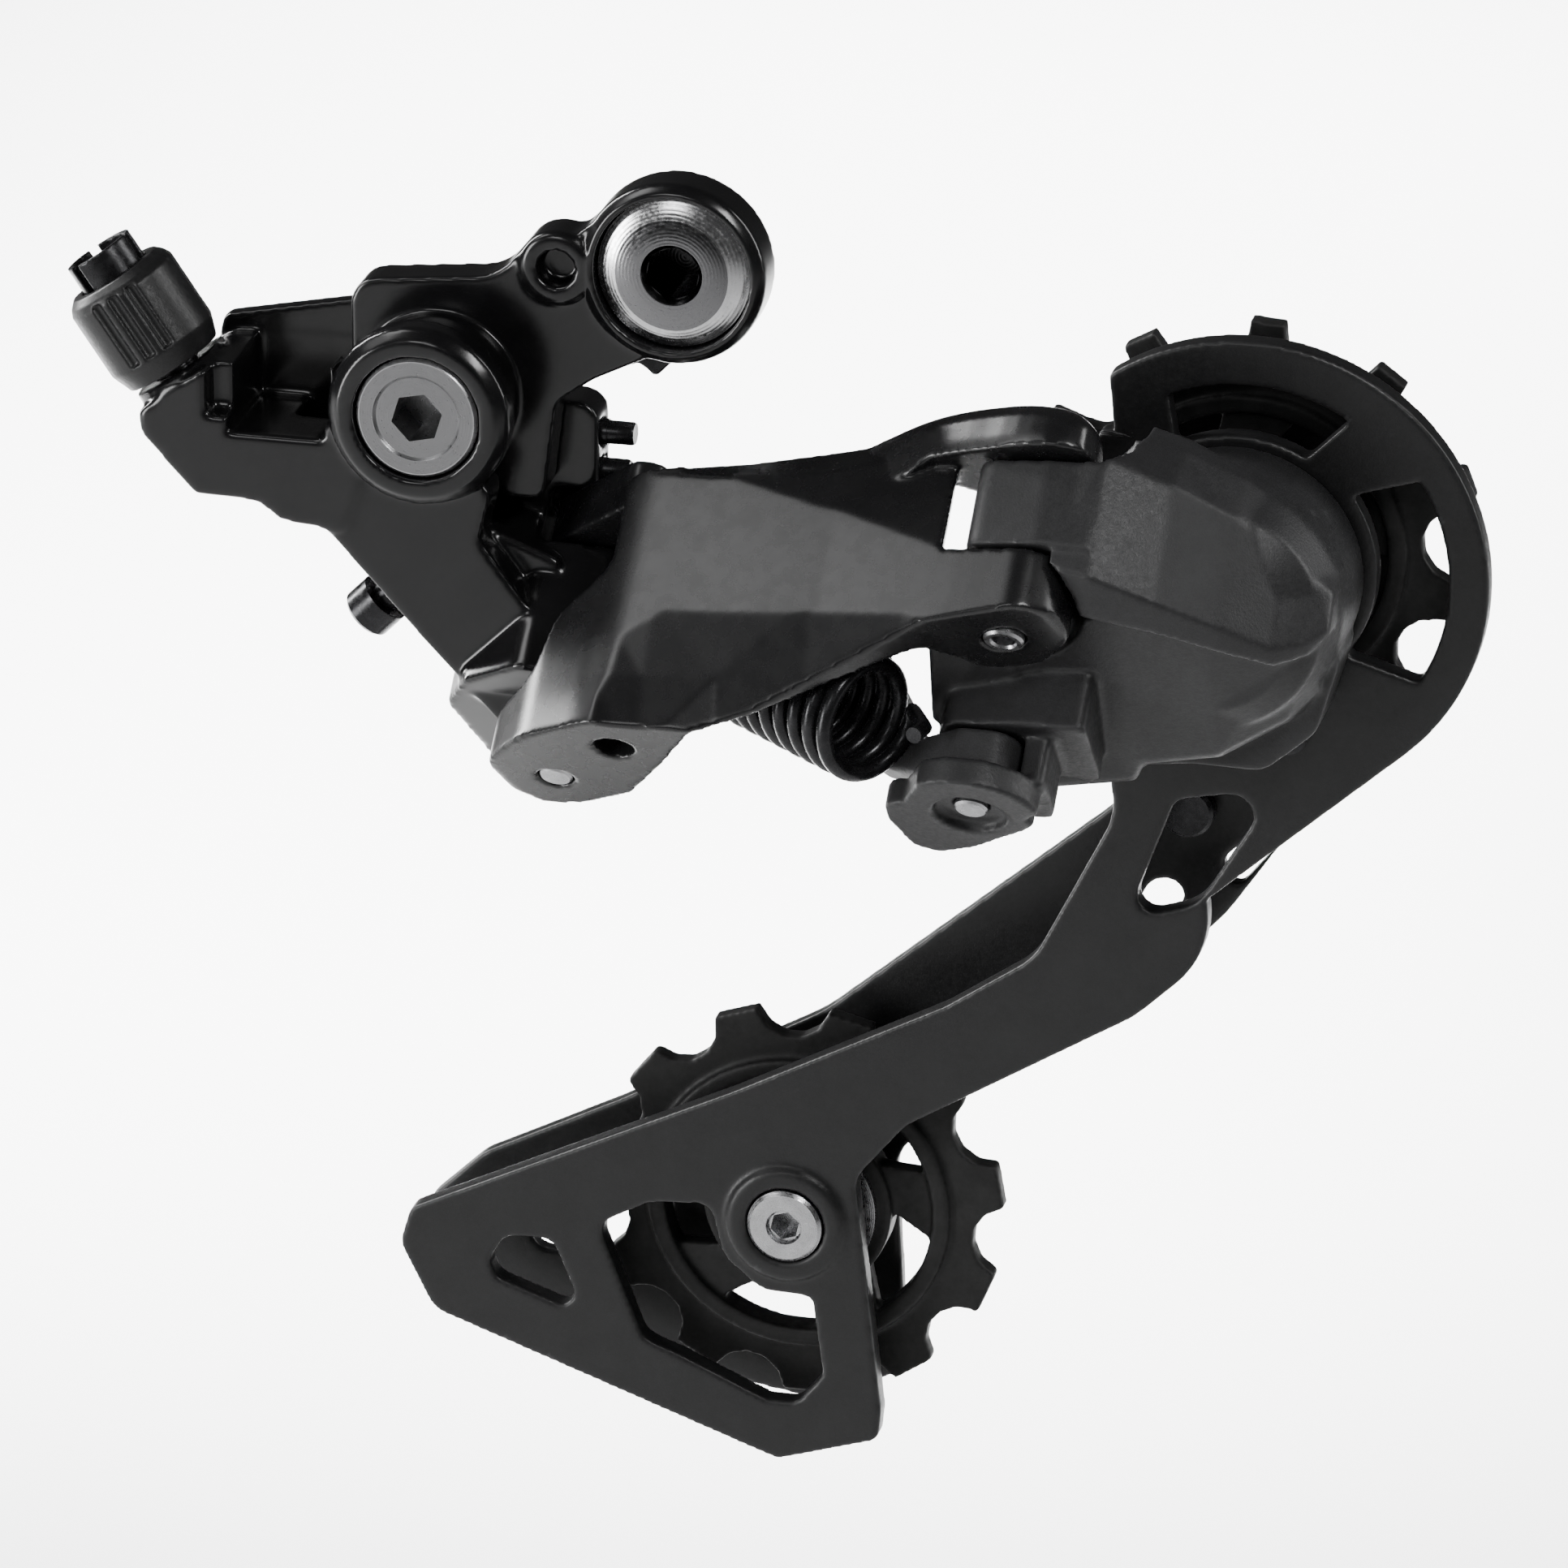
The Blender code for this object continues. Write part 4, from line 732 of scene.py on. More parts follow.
mount = turned(
    "mount_bolt",
    [
        (0, 6.9),
        (6.35, 6.9),
        (8.5, 5.7),
        (8.5, 4.9),
        (5.0, 4.9),
        (5.0, -9.0),
        (4.2, -10.0),
        (0, -10.0),
    ],
    side(0, 0),
    36,
)
mount = cut(
    mount,
    slab("hex", [hexagon(5.6, 0.35)], 0.5, 9, side(0, 0)),
    turned("mouth", [(0, 8.0), (4.3, 8.0), (2.9, 6.2), (0, 6.2)], side(0, 0), 32),
)
origin_at(part(mount, SILVER), (0, 0, 0))

stopper = slab(
    "stopper_plate",
    [
        fillet(
            [
                (-9.6, 2.5, 3),
                (-4, 8.5, 5),
                (4.5, 8.5, 5),
                (9, 3, 4),
                (9, -5, 4),
                (3, -11.0, 3),
                (-1.5, -12.2, 0.6),
                (-3.2, -14.0, 0.6),
                (-5.0, -12.6, 0.6),
                (-10.6, -13.6, 1.5),
                (-11.5, -9, 2),
            ]
        ),
        ring(0, 0, 7.2, 32),
    ],
    0.0,
    1.2,
    side(0, 0),
)
tooth = slab(
    "tooth",
    [[(-4.8, -13.4), (-1.6, -12.2), (-1.2, -11.0), (-4.8, -11.6)]],
    -3.2,
    0.6,
    side(0, 0),
)
part(join(stopper, tooth), BLACK_STEEL)

clip = slab(
    "bolt_retaining_ring",
    [
        arc(0, 0, 6.9, -60, 240, 14)
        + arc(0, 0, 5.35, 240, -60, 14)
    ],
    0.15,
    1.05,
    side(0, 0),
)
part(clip, BLACK_STEEL)

# ================================================================ B pivot
B_FRONT = 16.6  # how far outboard the ring boss stands
SWEEP_R = 16.8  # the bracket's arm passes inside this as the B pivot turns
axle = turned(
    "b_axle_bolt",
    [
        (0, 16.0),
        (4.6, 16.0),
        (4.9, 16.25),
        (6.5, 16.25),
        (6.85, 15.9),
        (6.85, 13.7),
        (3.9, 13.7),
        (3.9, 12.3),
        (2.95, 12.3),
        (2.95, 2.2),
        (0, 2.2),
    ],
    side(*B_AXIS),
    32,
)
axle = cut(axle, slab("hex", [hexagon(5.05, 0.22)], 11.0, 18, side(*B_AXIS)))
part(axle, SILVER)

bush = turned(
    "b_bushing",
    [(4.75, 13.4), (4.75, 12.4), (4.0, 12.4), (4.0, 13.4)],
    side(*B_AXIS),
    20,
)
part(bush, BRASS)

seal = tube("b_seal_ring", 8.7, 7.9, 12.1, 12.4, side(*B_AXIS), 24)
part(seal, RUBBER)

b_spring = wire(
    "b_pivot_spring",
    helix(5.6, 7.0, 11.2, 2.5, 14),
    0.75,
    side(*B_AXIS),
)
part(b_spring, BLACK_STEEL)

# ================================================================ B body
b_ring = turned(
    "b_body",
    [(0, B_FRONT), (8.9, B_FRONT), (10.2, 15.5), (10.2, 12.6), (0, 12.6)],
    side(*B_AXIS),
    32,
)
leg = slab(
    "leg",
    [
        fillet(
            [
                (-37.0, -14.5, 3),
                (-37.6, -29.8, 2),
                (-27.0, -41.4),
                (-17.0, -52.0, 2.5),
                (-8.5, -49.5, 3),
                (-10.5, -42.0, 3),
                (-15.1, -36.5, 3),
                (-20.0, -30.0, 2),
                (-18.5, -24.0, 2),
            ]
        )
    ],
    8.6,
    13.9,
    side(0, 0),
)
left_arm = slab(
    "left_arm",
    [
        fillet(
            [
                (-58.4, -18.2, 1.2),
                (-58.0, -20.6, 2),
                (-52.0, -27.2, 1.5),
                (-45.0, -27.4, 2),
                (-42.2, -29.4, 2),
                (-35.2, -30.2, 1),
                (-33.0, -24, 1),
                (-36.9, -12, 1),
                (-51.0, -12.6, 3),
                (-54, -14.6, 2),
            ]
        )
    ],
    -0.8,
    14.4,
    side(0, 0),
)
rear_wall = slab(
    "rear_wall",
    [
        fillet(
            [
                (-53.4, -20, 1),
                (-52.4, -10.9, 1.5),
                (-37.0, -7.8, 1),
                (-22.0, -6.6, 2),
                (-20.0, -20, 1),
                (-36.9, -29, 1),
                (-46, -26, 1),
            ]
        )
    ],
    -1.0,
    1.15,
    side(0, 0),
)
# block that carries both pins of the B end, leaned with them
hub = slab(
    "hub",
    [
        fillet(
            [
                (-12.2, 20.5, 3),
                (-15.5, 6.0, 2),
                (-12.5, 0.0, 2),
                (-5.5, -5.0, 3),
                (5.6, -3.5, 4),
                (5.2, 5.2, 3),
                (1.5, 12.0, 2),
                (1.5, 20.5, 4),
            ]
        )
    ],
    -3.7,
    12.2,
    PINS_B,
)
hub_top = slab(
    "hub_top",
    [
        fillet(
            [
                (-14.5, 20.5, 3),
                (-15.5, 2.0, 2),
                (-8.4, 2.0, 2),
                (-8.4, 9.4, 2),
                (1.5, 10.0, 3),
                (1.5, 20.5, 4),
            ]
        )
    ],
    11.8,
    27.5,
    PINS_B,
)
lug = slab(
    "lug",
    [
        fillet(
            [
                (-36.5, -24.5, 1),
                (-30.0, -17.5, 1),
                (-9.8, -17.6, 2.5),
                (-9.8, -28.0, 2),
                (-14, -38.0, 2),
                (-25, -38.0, 1),
            ]
        )
    ],
    -4.0,
    1.2,
    side(0, 0),
)
bridge = slab(
    "bridge",
    [
        fillet(
            [
                (-38.0, -27.4, 1),
                (-24.0, -28.3, 1),
                (-12.0, -33.0, 1),
                (-12.0, -42.0, 2),
                (-19.0, -46.0, 2),
                (-27.0, -40.6, 1),
                (-37.6, -29.5, 1),
            ]
        )
    ],
    -3.5,
    10.0,
    side(0, 0),
)
ADJ = Vector((-54.6, -8.7, -15.8))  # where the adjuster's collar seats
ADJ_DIR = Vector((-0.562, 0.0, 0.827))
adj_frame = along(ADJ, ADJ_DIR)
socket = rod("socket", 5.3, -5.0, 1.4, adj_frame, 28)
b_body = join(b_ring, leg, left_arm, rear_wall, bridge, hub, hub_top, lug, socket)
# the outer link's lobe sweeps below this line; the limit screws run along X
SCREW_Z = -21.8
b_body = cut(
    b_body,
    rod("c1", 7.1, 13.5, 20, side(*B_AXIS), 32),
    rod("c2", 4.8, 11.8, 20, side(*B_AXIS), 32),
    rod("c3", 10.6, 1.25, 12.6, side(*B_AXIS), 32),
    rod("c11", SWEEP_R, 1.25, 6.95, side(*B_AXIS), 40),
    block("pocket", (-48.2, -30, -19.6), (-37.2, -1.2, 0)),
    block("pocket2", (-50.5, -16, -17.9), (-36.5, -11.6, 0)),
    rod("c4", 2.55, -30, 5, adj_frame, 20),
    rod("c5", 1.9, -30, 40, along(B_OUT, AX), 20),
    rod("c6", 1.9, -30, 60, along(B_IN, AX), 20),
    slab(
        "slot",
        [[(-10.0, 6), (-10.0, 30), (30, 30), (30, 6)]],
        12.2,
        23.8,
        PINS_B,
    ),
    rod("c7", 1.55, -60, 0, along((0, 1.4, SCREW_Z), (1, 0, 0)), 16),
    rod("c8", 1.55, -60, 0, along((0, 1.4, SCREW_Z - 4.4), (1, 0, 0)), 16),
    rod("c10", 6.9, 12.4, 19.2, along(B_OUT, AX), 28),
    rod("c12", 7.5, -16, -3.75, along(B_OUT, AX), 28),
    rod("c9", 1.9, -30, 30, along((-29.5, -5.0, -37.3), (0.70, 0, 0.71)), 16),
)
origin_at(part(b_body, GLOSS), (B_AXIS[0], 0, B_AXIS[1]))

# ================================================================ adjusters
knob = turned(
    "barrel_knob",
    [(5.3, 13.8), (6.1, 13.0), (6.5, 12.2), (6.5, 4.4), (5.6, 2.0), (2.8, 2.0)]
    + [(2.8, 6.2), (4.15, 6.2), (4.15, 13.8)],
    adj_frame,
    28,
)
grooves = [
    rod(
        "g%d" % k,
        0.7,
        4.6,
        12.6,
        adj_frame
        @ Matrix.Translation(
            (
                6.6 * math.cos(math.radians(a)),
                6.6 * math.sin(math.radians(a)),
                0,
            )
        ),
        8,
    )
    for k, a in enumerate((20, 40, 60, 140, 160, 180, 260, 280, 300))
]
origin_at(part(cut(knob, *grooves), SATIN), ADJ)

adj_screw = turned(
    "barrel_screw",
    [(3.95, 17.0), (3.95, 6.5), (2.5, 6.5), (2.5, -7.5), (1.2, -7.5), (1.2, 7.6)]
    + [(3.2, 7.6), (3.2, 17.0)],
    adj_frame,
    24,
)
slots = [
    block(
        "s%d" % k,
        (-0.55, 0, 13.4),
        (0.55, 6, 20),
        adj_frame @ Matrix.Rotation(math.radians(a), 4, "Z"),
    )
    for k, a in enumerate((30, 150, 270))
]
origin_at(part(cut(adj_screw, *slots), BLACK_STEEL), ADJ)

b_screw_frame = along((-29.5, -5.0, -37.3), (-0.70, 0, -0.71))
tension_screw = turned(
    "b_tension_screw",
    [(0, 8.6), (2.6, 8.6), (3.0, 8.2), (3.0, 5.2), (1.8, 5.2), (1.8, -10.0)]
    + [(1.2, -11.0), (0, -11.0)],
    b_screw_frame,
    24,
)
tension_screw = cut(
    tension_screw, slab("hex", [hexagon(3.0)], 6.4, 9.5, b_screw_frame)
)
origin_at(part(tension_screw, BLACK_STEEL), (-29.5, -5.0, -37.3))

for label, y, z, tip in (
    ("low_limit_screw", 1.4, SCREW_Z, -6.2),
    ("high_limit_screw", 1.4, SCREW_Z - 4.4, -6.8),
):
    f = along((0, y, z), (1, 0, 0))
    screw = turned(
        label,
        [(0, tip), (1.15, tip), (1.3, tip - 0.3), (1.3, tip - 3), (1.45, tip - 3)]
        + [(1.45, -38.6), (0, -38.6)],
        f,
        16,
    )
    screw = cut(screw, block("drive", (-3, -0.3, -40), (3, 0.3, -37.6), f))
    origin_at(part(screw, BLACK_STEEL), (0, y, z))

# ================================================================ outer link
# outline seen square to its outboard face: s along the link, w up the pins
face = frame(B_OUT, SX, AX)  # x = s, y = w, z = outboard
outer_side = [
    (9.6, 16.2, 2),
    (22, 17.6, 8),
    (32, 20.0, 10),
    (42, 21.4, 10),
    (49, 21.0, 3),
    (58.0, 18.4, 1),
    (61.0, -0.4, 1.5),
    (47, -2.6, 6),
    (36, -7.8, 8),
    (28, -11.8, 6),
    (21, -14.3, 4),
    (-8.0, -14.3, 2),
    (-7.6, -9.4, 3),
    (0.6, -6.6, 4),
    (3.0, 0.4, 4),
    (9.6, 5.0, 3),
]
# the same face, its depth leaning towards the bracket as it goes inboard
FLARE = face @ Matrix(
    ((1, 0, 0.60, -4.3), (0, 1, 0, 0), (0, 0, 1, 0), (0, 0, 0, 1))
)
shell = slab("outer_link", [fillet(outer_side)], -12, 14, face)
# plan of the link looking down the pins: thick lobe, thin wall, round ear
plan = slab(
    "plan",
    [
        fillet(
            [
                (-6.8, 1.5, 4),
                (-6.2, -5.2, 5),
                (1.0, -9.8, 9),
                (11, -12.2, 16),
                (35, -8.7, 25),
                (50, -7.0, 10),
                (58, -6.0, 4),
                (60.6, -2.5, 4),
                (60.0, 3.0, 4),
                (54.5, 6.6, 4),
                (48.5, 4.6, 3),
                (45.0, -3.2, 3),
                (36, -4.8, 10),
                (20, -7.6, 6),
                (12.0, -4.0, 4),
                (7.0, 3.0, 4),
                (0.5, 6.2, 4),
                (-4.5, 5.4, 3),
            ]
        )
    ],
    -30,
    40,
    LINK,
)
mod = shell.modifiers.new("plan", "BOOLEAN")
mod.operation = "INTERSECT"
mod.solver = "EXACT"
mod.object = plan
shell.data = evaluated_mesh(shell)
shell.modifiers.clear()
bpy.data.objects.remove(plan)
upper_lug = slab(
    "upper_lug",
    [
        fillet(
            [
                (-5.2, 3.5, 3),
                (-5.2, -3.5, 3),
                (0, -6.0, 3),
                (9.5, -10.8, 2),
                (13, -8.8, 2),
                (8, -2.2, 3),
                (5.2, 3.0, 3),
                (1.0, 5.6, 3),
            ]
        )
    ],
    12.8,
    18.6,
    LINK,
)
# the upper ear sweeps out into a rounded horn over the P body's knuckle
def eased(rows, steps):
    """Rows of numbers with smooth ones added between each pair."""
    out = []
    last = len(rows) - 1
    for i in range(last):
        a, b = rows[i], rows[i + 1]
        before, after = rows[max(i - 1, 0)], rows[min(i + 2, last)]
        for k in range(steps):
            u = k / steps
            out.append(
                tuple(
                    0.5
                    * (
                        2 * q
                        + (r - o) * u
                        + (2 * o - 5 * q + 4 * r - v) * u * u
                        + (3 * q - o - 3 * r + v) * u**3
                    )
                    for o, q, r, v in zip(before, a, b, after)
                )
            )
    out.append(tuple(rows[-1]))
    return out


def horn_section(s, outer, inner, top):
    """One station of the horn: s, its outboard and inboard t, and its top w."""
    foot = 17.25 if s > 44.0 else 15.8
    tall = top - foot
    wide = inner - outer
    section = [(s, inner, foot)]
    for k in range(9):
        turn = math.pi * k / 8
        across = (inner + outer) / 2 + wide / 2 * math.copysign(
            abs(math.cos(turn)) ** 0.62, math.cos(turn)
        )
        section.append((s, across, foot + tall * (0.22 + 0.78 * math.sin(turn) ** 0.7)))
    section.append((s, outer, foot))
    return section


horn = loft(
    "horn",
    [
        horn_section(*row)
        for row in eased(
            [
                (29, -5.6, -4.6, 18.2),
                (36, -6.2, -4.4, 20.6),
                (42, -7.2, -3.2, 22.6),
                (47, -8.0, 2.0, 23.8),
                (51.5, -8.3, 5.2, 24.2),
                (55.5, -8.5, 5.4, 24.0),
                (59.0, -8.2, 4.0, 23.3),
                (61.3, -7.2, 0.4, 22.2),
                (62.5, -6.0, -3.0, 20.8),
            ],
            2,
        )
    ],
    LINK,
)


# floor of the lobe, carried on along the bottom of the wall
lobe_floor = slab(
    "lobe_floor",
    [
        fillet(
            [
                (-5.0, 4.4, 3),
                (-6.0, -5.0, 4),
                (1.0, -9.6, 6),
                (11, -12.0, 8),
                (23.0, -11.2, 1),
                (21.0, -7.4, 3),
                (13.5, -0.6, 4),
                (7.0, 4.6, 3),
                (0.5, 6.2, 4),
            ]
        )
    ],
    -14.3,
    -10.5,
    LINK,
)
shell = join(shell, upper_lug, lobe_floor)


def shaving(name, rows, drop, side_of):
    """Tool that leans a face back from a crease: rows are (s, w, depth, slope)."""
    sections = []
    for s, w, z, slope in rows:
        lean = math.tan(math.radians(slope))
        far = w + side_of * drop
        sections.append(
            [
                (s, w, z + 0.02),
                (s, w + side_of * drop * 0.5, z - drop * 0.5 * lean * 0.86),
                (s, far, z - drop * lean),
                (s, far, z + 12),
                (s, w, z + 12),
            ]
        )
    return loft(name, sections, face)


# depths of the outboard face where the creases run along it
shell = cut(
    shell,
    shaving(
        "lower_recess",
        [
            (4, 0.0, 14.5, 0),
            (10, 0.1, 12.9, 2),
            (16, 0.4, 11.7, 7),
            (24, 0.8, 10.7, 14),
            (34, 0.4, 9.2, 16),
            (45, -0.6, 7.8, 16),
            (66, -3.6, 6.4, 14),
        ],
        18,
        -1,
    ),
    shaving(
        "upper_facet",
        [
            (9, 16.0, 12.4, 11),
            (22, 13.8, 10.9, 12),
            (33, 10.6, 9.2, 13),
            (48.5, 6.0, 7.2, 13),
        ],
        20,
        1,
    ),
    shaving(
        "top_band",
        [
            (16, 15.4, 11.6, 30),
            (24, 15.7, 9.9, 34),
            (32, 16.4, 8.0, 34),
            (42, 18.0, 6.6, 34),
            (48, 18.4, 6.6, 20),
        ],
        10,
        1,
    ),
)
shell = join(shell, horn)
shell = cut(
    shell,
    # room for the B body's knuckle between the lobe and the upper lug
    slab(
        "bclear",
        [
            fillet(
                [(-12, -6.9), (5.5, -6.9, 4), (10.0, -4.5, 3), (10.0, 12), (-12, 12)]
            )
        ],
        -4.0,
        12.5,
        LINK,
    ),
    # window where the P body's knuckle stands between two ears; its walls lean
    slab(
        "window",
        [[(48.2, 6.2), (73.0, 6.2), (73.0, 17.25), (48.2, 17.25)]],
        -18,
        8,
        FLARE,
    ),
    rod("c1", 2.0, -30, 50, along(B_OUT, AX), 20),
    rod("c2", 2.35, -30, 50, along(P_OUT, AX), 20),
    rod("c4", 7.3, 6.25, 17.2, along(P_OUT, AX), 32),
    rod("c3", 2.2, -16, -11.0, along(B_OUT + SX * 10.6 - TY * 5.6, AX), 20),
)
origin_at(part(shell, GLOSS), B_OUT)

# ================================================================ link pins
for label, base, lo, hi, r in (
    ("outer_link_pin_b", B_OUT, -14.2, 18.4, 1.85),
    ("inner_link_pin_b", B_IN, 8.0, 27.4, 1.85),
    ("inner_link_pin_p", P_IN, -14.9, -3.4, 1.85),
):
    part(rod(label, r, lo, hi, along(base, AX), 20, 0.25), STEEL)

part(
    turned(
        "outer_link_pin_p",
        [(0, 21.6), (2.1, 21.6), (2.25, 21.4), (2.25, -1.6), (2.0, -1.9)]
        + [(1.5, -1.9), (1.3, -1.6), (1.3, 1.0), (0, 1.0)],
        along(P_OUT, AX),
        24,
    ),
    STEEL,
)

# ================================================================ inner link
inner_face = frame(B_IN, SX, AX)
inner = slab(
    "inner_link",
    [
        fillet(
            [
                (-5.4, 23.5, 2),
                (-5.4, 12.5, 2),
                (8.4, 12.5, 3),
                (24, 2.5, 5),
                (41, -9.0, 4),
                (48.5, -11.9, 1),
                (58.8, -11.9, 1),
                (58.8, -7.3, 0.6),
                (46.4, -7.3, 2),
                (43.0, -1.0, 4),
                (36, 9.5, 6),
                (23, 24.6, 3),
                (10, 30.6, 2.5),
                (5.8, 23.5, 1),
            ]
        )
    ],
    -12,
    12,
    inner_face,
)
inner_plan = slab(
    "inner_plan",
    [
        fillet(
            [
                (-5.0, 3.2, 3),
                (-5.0, -3.2, 3),
                (0, -5.0, 3),
                (5.0, -3.6, 2),
                (7.6, -1.4, 2),
                (44, -1.4, 5),
                (49, -3.8, 3),
                (53.4, -5.2, 3),
                (58.4, -3.2, 3),
                (58.4, 3.2, 3),
                (53.4, 5.2, 3),
                (47, 3.8, 4),
                (42, 2.2, 4),
                (12, 2.2, 4),
                (4, 4.6, 4),
                (0, 5.0, 3),
            ]
        )
    ],
    -40,
    50,
    frame(B_IN, SX, TY),
)
mod = inner.modifiers.new("plan", "BOOLEAN")
mod.operation = "INTERSECT"
mod.solver = "EXACT"
mod.object = inner_plan
inner.data = evaluated_mesh(inner)
inner.modifiers.clear()
bpy.data.objects.remove(inner_plan)
CLAMP = B_IN + SX * 13.0 + AX * 19.0
inner = cut(
    inner,
    rod("c1", 1.95, -40, 60, along(B_IN, AX), 20),
    rod("c2", 1.95, -40, 60, along(P_IN, AX), 20),
    rod("c3", 1.75, -12, 12, along(CLAMP, -TY), 16),
)
origin_at(part(inner, CAST), B_IN)

clamp_frame = along(CLAMP, -TY)
washer = slab(
    "cable_clamp_plate",
    [fillet([(-4.4, -3.4, 1), (4.4, -3.4, 1), (4.4, 4.0, 1), (-4.4, 4.0, 1)])]
    + [ring(0, 0, 1.9, 16)],
    1.7,
    2.9,
    clamp_frame,
)
part(washer, STEEL)
clamp = turned(
    "cable_clamp_bolt",
    [(0, 6.1), (2.9, 6.1), (3.3, 5.7), (3.3, 3.2), (1.65, 3.2), (1.65, -3.4)]
    + [(0, -3.4)],
    clamp_frame,
    20,
)
clamp = cut(clamp, slab("hex", [hexagon(3.0)], 4.0, 7.0, clamp_frame))
origin_at(part(clamp, STEEL), CLAMP)

# ================================================================ return spring
SPRING_B = B_OUT + TY * 3.6 + SX * 8.0 + AX * 6.5
SPRING_P = P_OUT + E1 * -12.6 + E2 * 8.0 + AX * -9.6
spring_dir = (SPRING_P - SPRING_B).normalized()
spring_len = (SPRING_P - SPRING_B).length
spring_frame = along(SPRING_B, spring_dir)
coil = helix(6.1, 5.0, spring_len - 2.2, 12, 10)
hook_b = [(0, 0, -1.5), (1.5, 0, 0.4), (4.0, 0, 2.2)]
hook_p = [(4.0, 0, spring_len + 1.6), (1.5, 0, spring_len + 2.6)]
part(
    wire("return_spring", hook_b + coil + hook_p, 0.92, spring_frame),
    BLACK_STEEL,
)

# ================================================================ P body
PF = side(*P_AXIS)
housing = turned(
    "p_body",
    [(0, 15.6), (9.6, 15.6), (12.6, 13.4), (14.0, 8.5), (14.2, -2.3), (0, -2.3)],
    PF,
    36,
)
knuckle = slab(
    "knuckle",
    [
        fillet(
            [
                (-5.3, -0.4, 3),
                (-4.8, -5.8, 2),
                (3, -7.2, 4),
                (9, -7.0, 1),
                (14, 0, 2),
                (20, 10, 2),
                (6, 12, 2),
                (-2.0, 6.2, 3),
            ]
        )
    ],
    6.6,
    16.85,
    PINS_P,
)


def cover_section(x, lip, ridge, crest, top):
    """One station of the front cover, through its creases, each (Y, Z)."""
    return [
        (x, -6.0, lip[1] - 0.4),
        (x, *lip),
        (x, *ridge),
        (x, *crest),
        (x, *top),
        (x, -6.0, top[1]),
    ]


cover = loft(
    "cover",
    [
        cover_section(45.4, (-24.6, -27.4), (-25.8, -22.2), (-16.8, -13.6), (-13, -13.0)),
        cover_section(50.5, (-25.2, -28.3), (-26.4, -23.0), (-17.3, -12.6), (-12, -12.1)),
        cover_section(57.5, (-23.8, -29.9), (-24.8, -26.0), (-16.5, -15.5), (-10, -14.0)),
        cover_section(64.0, (-21.8, -32.2), (-22.5, -29.1), (-14.6, -19.4), (-8.5, -17.2)),
        cover_section(69.0, (-18.4, -34.6), (-19.0, -32.4), (-13.2, -23.4), (-8, -20.6)),
        cover_section(72.4, (-15.9, -34.0), (-16.4, -32.4), (-12.7, -26.2), (-8, -24.0)),
        cover_section(74.4, (-14.0, -32.0), (-14.2, -31.2), (-12.0, -28.2), (-8.2, -27.4)),
    ],
)
lower_wall = loft(
    "lower_wall",
    [
        [
            (x, back, z0 + 1.2),
            (x, y0 + 2.0, z0),
            (x, y0, z0 + 1.0),
            (x, y1, z1),
            (x, back, z1),
        ]
        for x, y0, z0, y1, z1, back in (
            (31.8, -18.9, -45.0, -21.6, -31.5, -14.0),
            (40.2, -17.4, -46.0, -22.0, -31.0, -12.0),
            (41.6, -13.0, -54.2, -22.0, -31.0, 1.8),
            (52.4, -11.0, -53.0, -22.6, -28.6, 1.8),
            (53.6, -12.4, -50.4, -22.2, -28.9, 1.8),
            (62.0, -12.4, -48.8, -20.6, -31.3, 1.8),
            (69.4, -11.0, -44.4, -16.8, -34.0, 1.8),
            (72.4, -8.0, -42.0, -14.4, -33.4, 0.0),
        )
    ],
)
shoulder = slab(
    "shoulder",
    [
        fillet(
            [
                (45.5, -16.0, 1),
                (46.5, -33.0, 1),
                (43.0, -53.0, 2),
                (58.5, -51.2, 4),
                (66.0, -51.4, 4),
                (71.8, -46.4, 4),
                (74.4, -37.5, 3),
                (66, -22, 2),
            ]
        )
    ],
    -1.6,
    7.4,
    side(0, 0),
)
ear_outline = arc(0, 0, 8.0, -128, -12, 8) + fillet(
    [
        (7.8, 0.4, 2),
        (5.4, 3.0, 3),
        (-0.8, 8.2, 4),
        (-4.8, 10.2, 2),
        (-7.6, 9.0, 2),
        (-9.4, 3.4, 3),
        (-9.6, -1.6, 2),
    ]
)
PINS_PI = frame(P_IN, E1, E2)
ear = slab("ear", [ear_outline], -15.6, -12.3, PINS_PI)
ear_post = slab(
    "ear_post",
    [fillet([(5.0, -3.4, 1), (3.4, 5.0, 1), (8.2, 5.0, 1), (8.2, -4.0, 1)])],
    -12.8,
    2.6,
    PINS_PI,
)
ear_top = slab(
    "ear_top",
    [
        fillet(
            [
                (-5.2, 0.5, 2),
                (-3.6, -4.6, 2),
                (4, -5.6, 2),
                (12.0, -6.0, 1),
                (12.0, 7.0, 1),
                (4, 6.0, 2),
                (-3.0, 5.0, 2),
            ]
        )
    ],
    -7.0,
    2.0,
    PINS_PI,
)
p_body = join(housing, cover, knuckle, lower_wall, shoulder, ear_post, ear, ear_top)
p_body = cut(
    p_body,
    rod("c1", 2.3, 2, 20, along(P_OUT, AX), 20),
    rod("c2", 1.9, -20, -3.0, along(P_IN, AX), 20),
    rod("c3", 4.0, -20, -14.4, along(P_IN, AX), 24),
    rod("c8", 6.0, -12.3, -7.0, along(P_IN, AX), 28),
    rod("c6", 11.9, 16.9, 28, along(P_OUT, AX), 32),
    rod("c7", 7.95, -4, 6.55, along(P_OUT, AX), 28),
    rod("c4", 10.6, -4, 9.5, PF, 28),
    rod("c5", 4.05, -4, 13.0, PF, 24),
)
origin_at(part(p_body, CAST), (P_AXIS[0], 0, P_AXIS[1]))

part(
    tube("p_seal_ring", 13.6, 12.4, -2.75, -2.35, PF, 28),
    RUBBER,
)
part(
    wire("p_pivot_spring", helix(8.2, 0.2, 8.0, 3, 14), 0.95, PF),
    BLACK_STEEL,
)

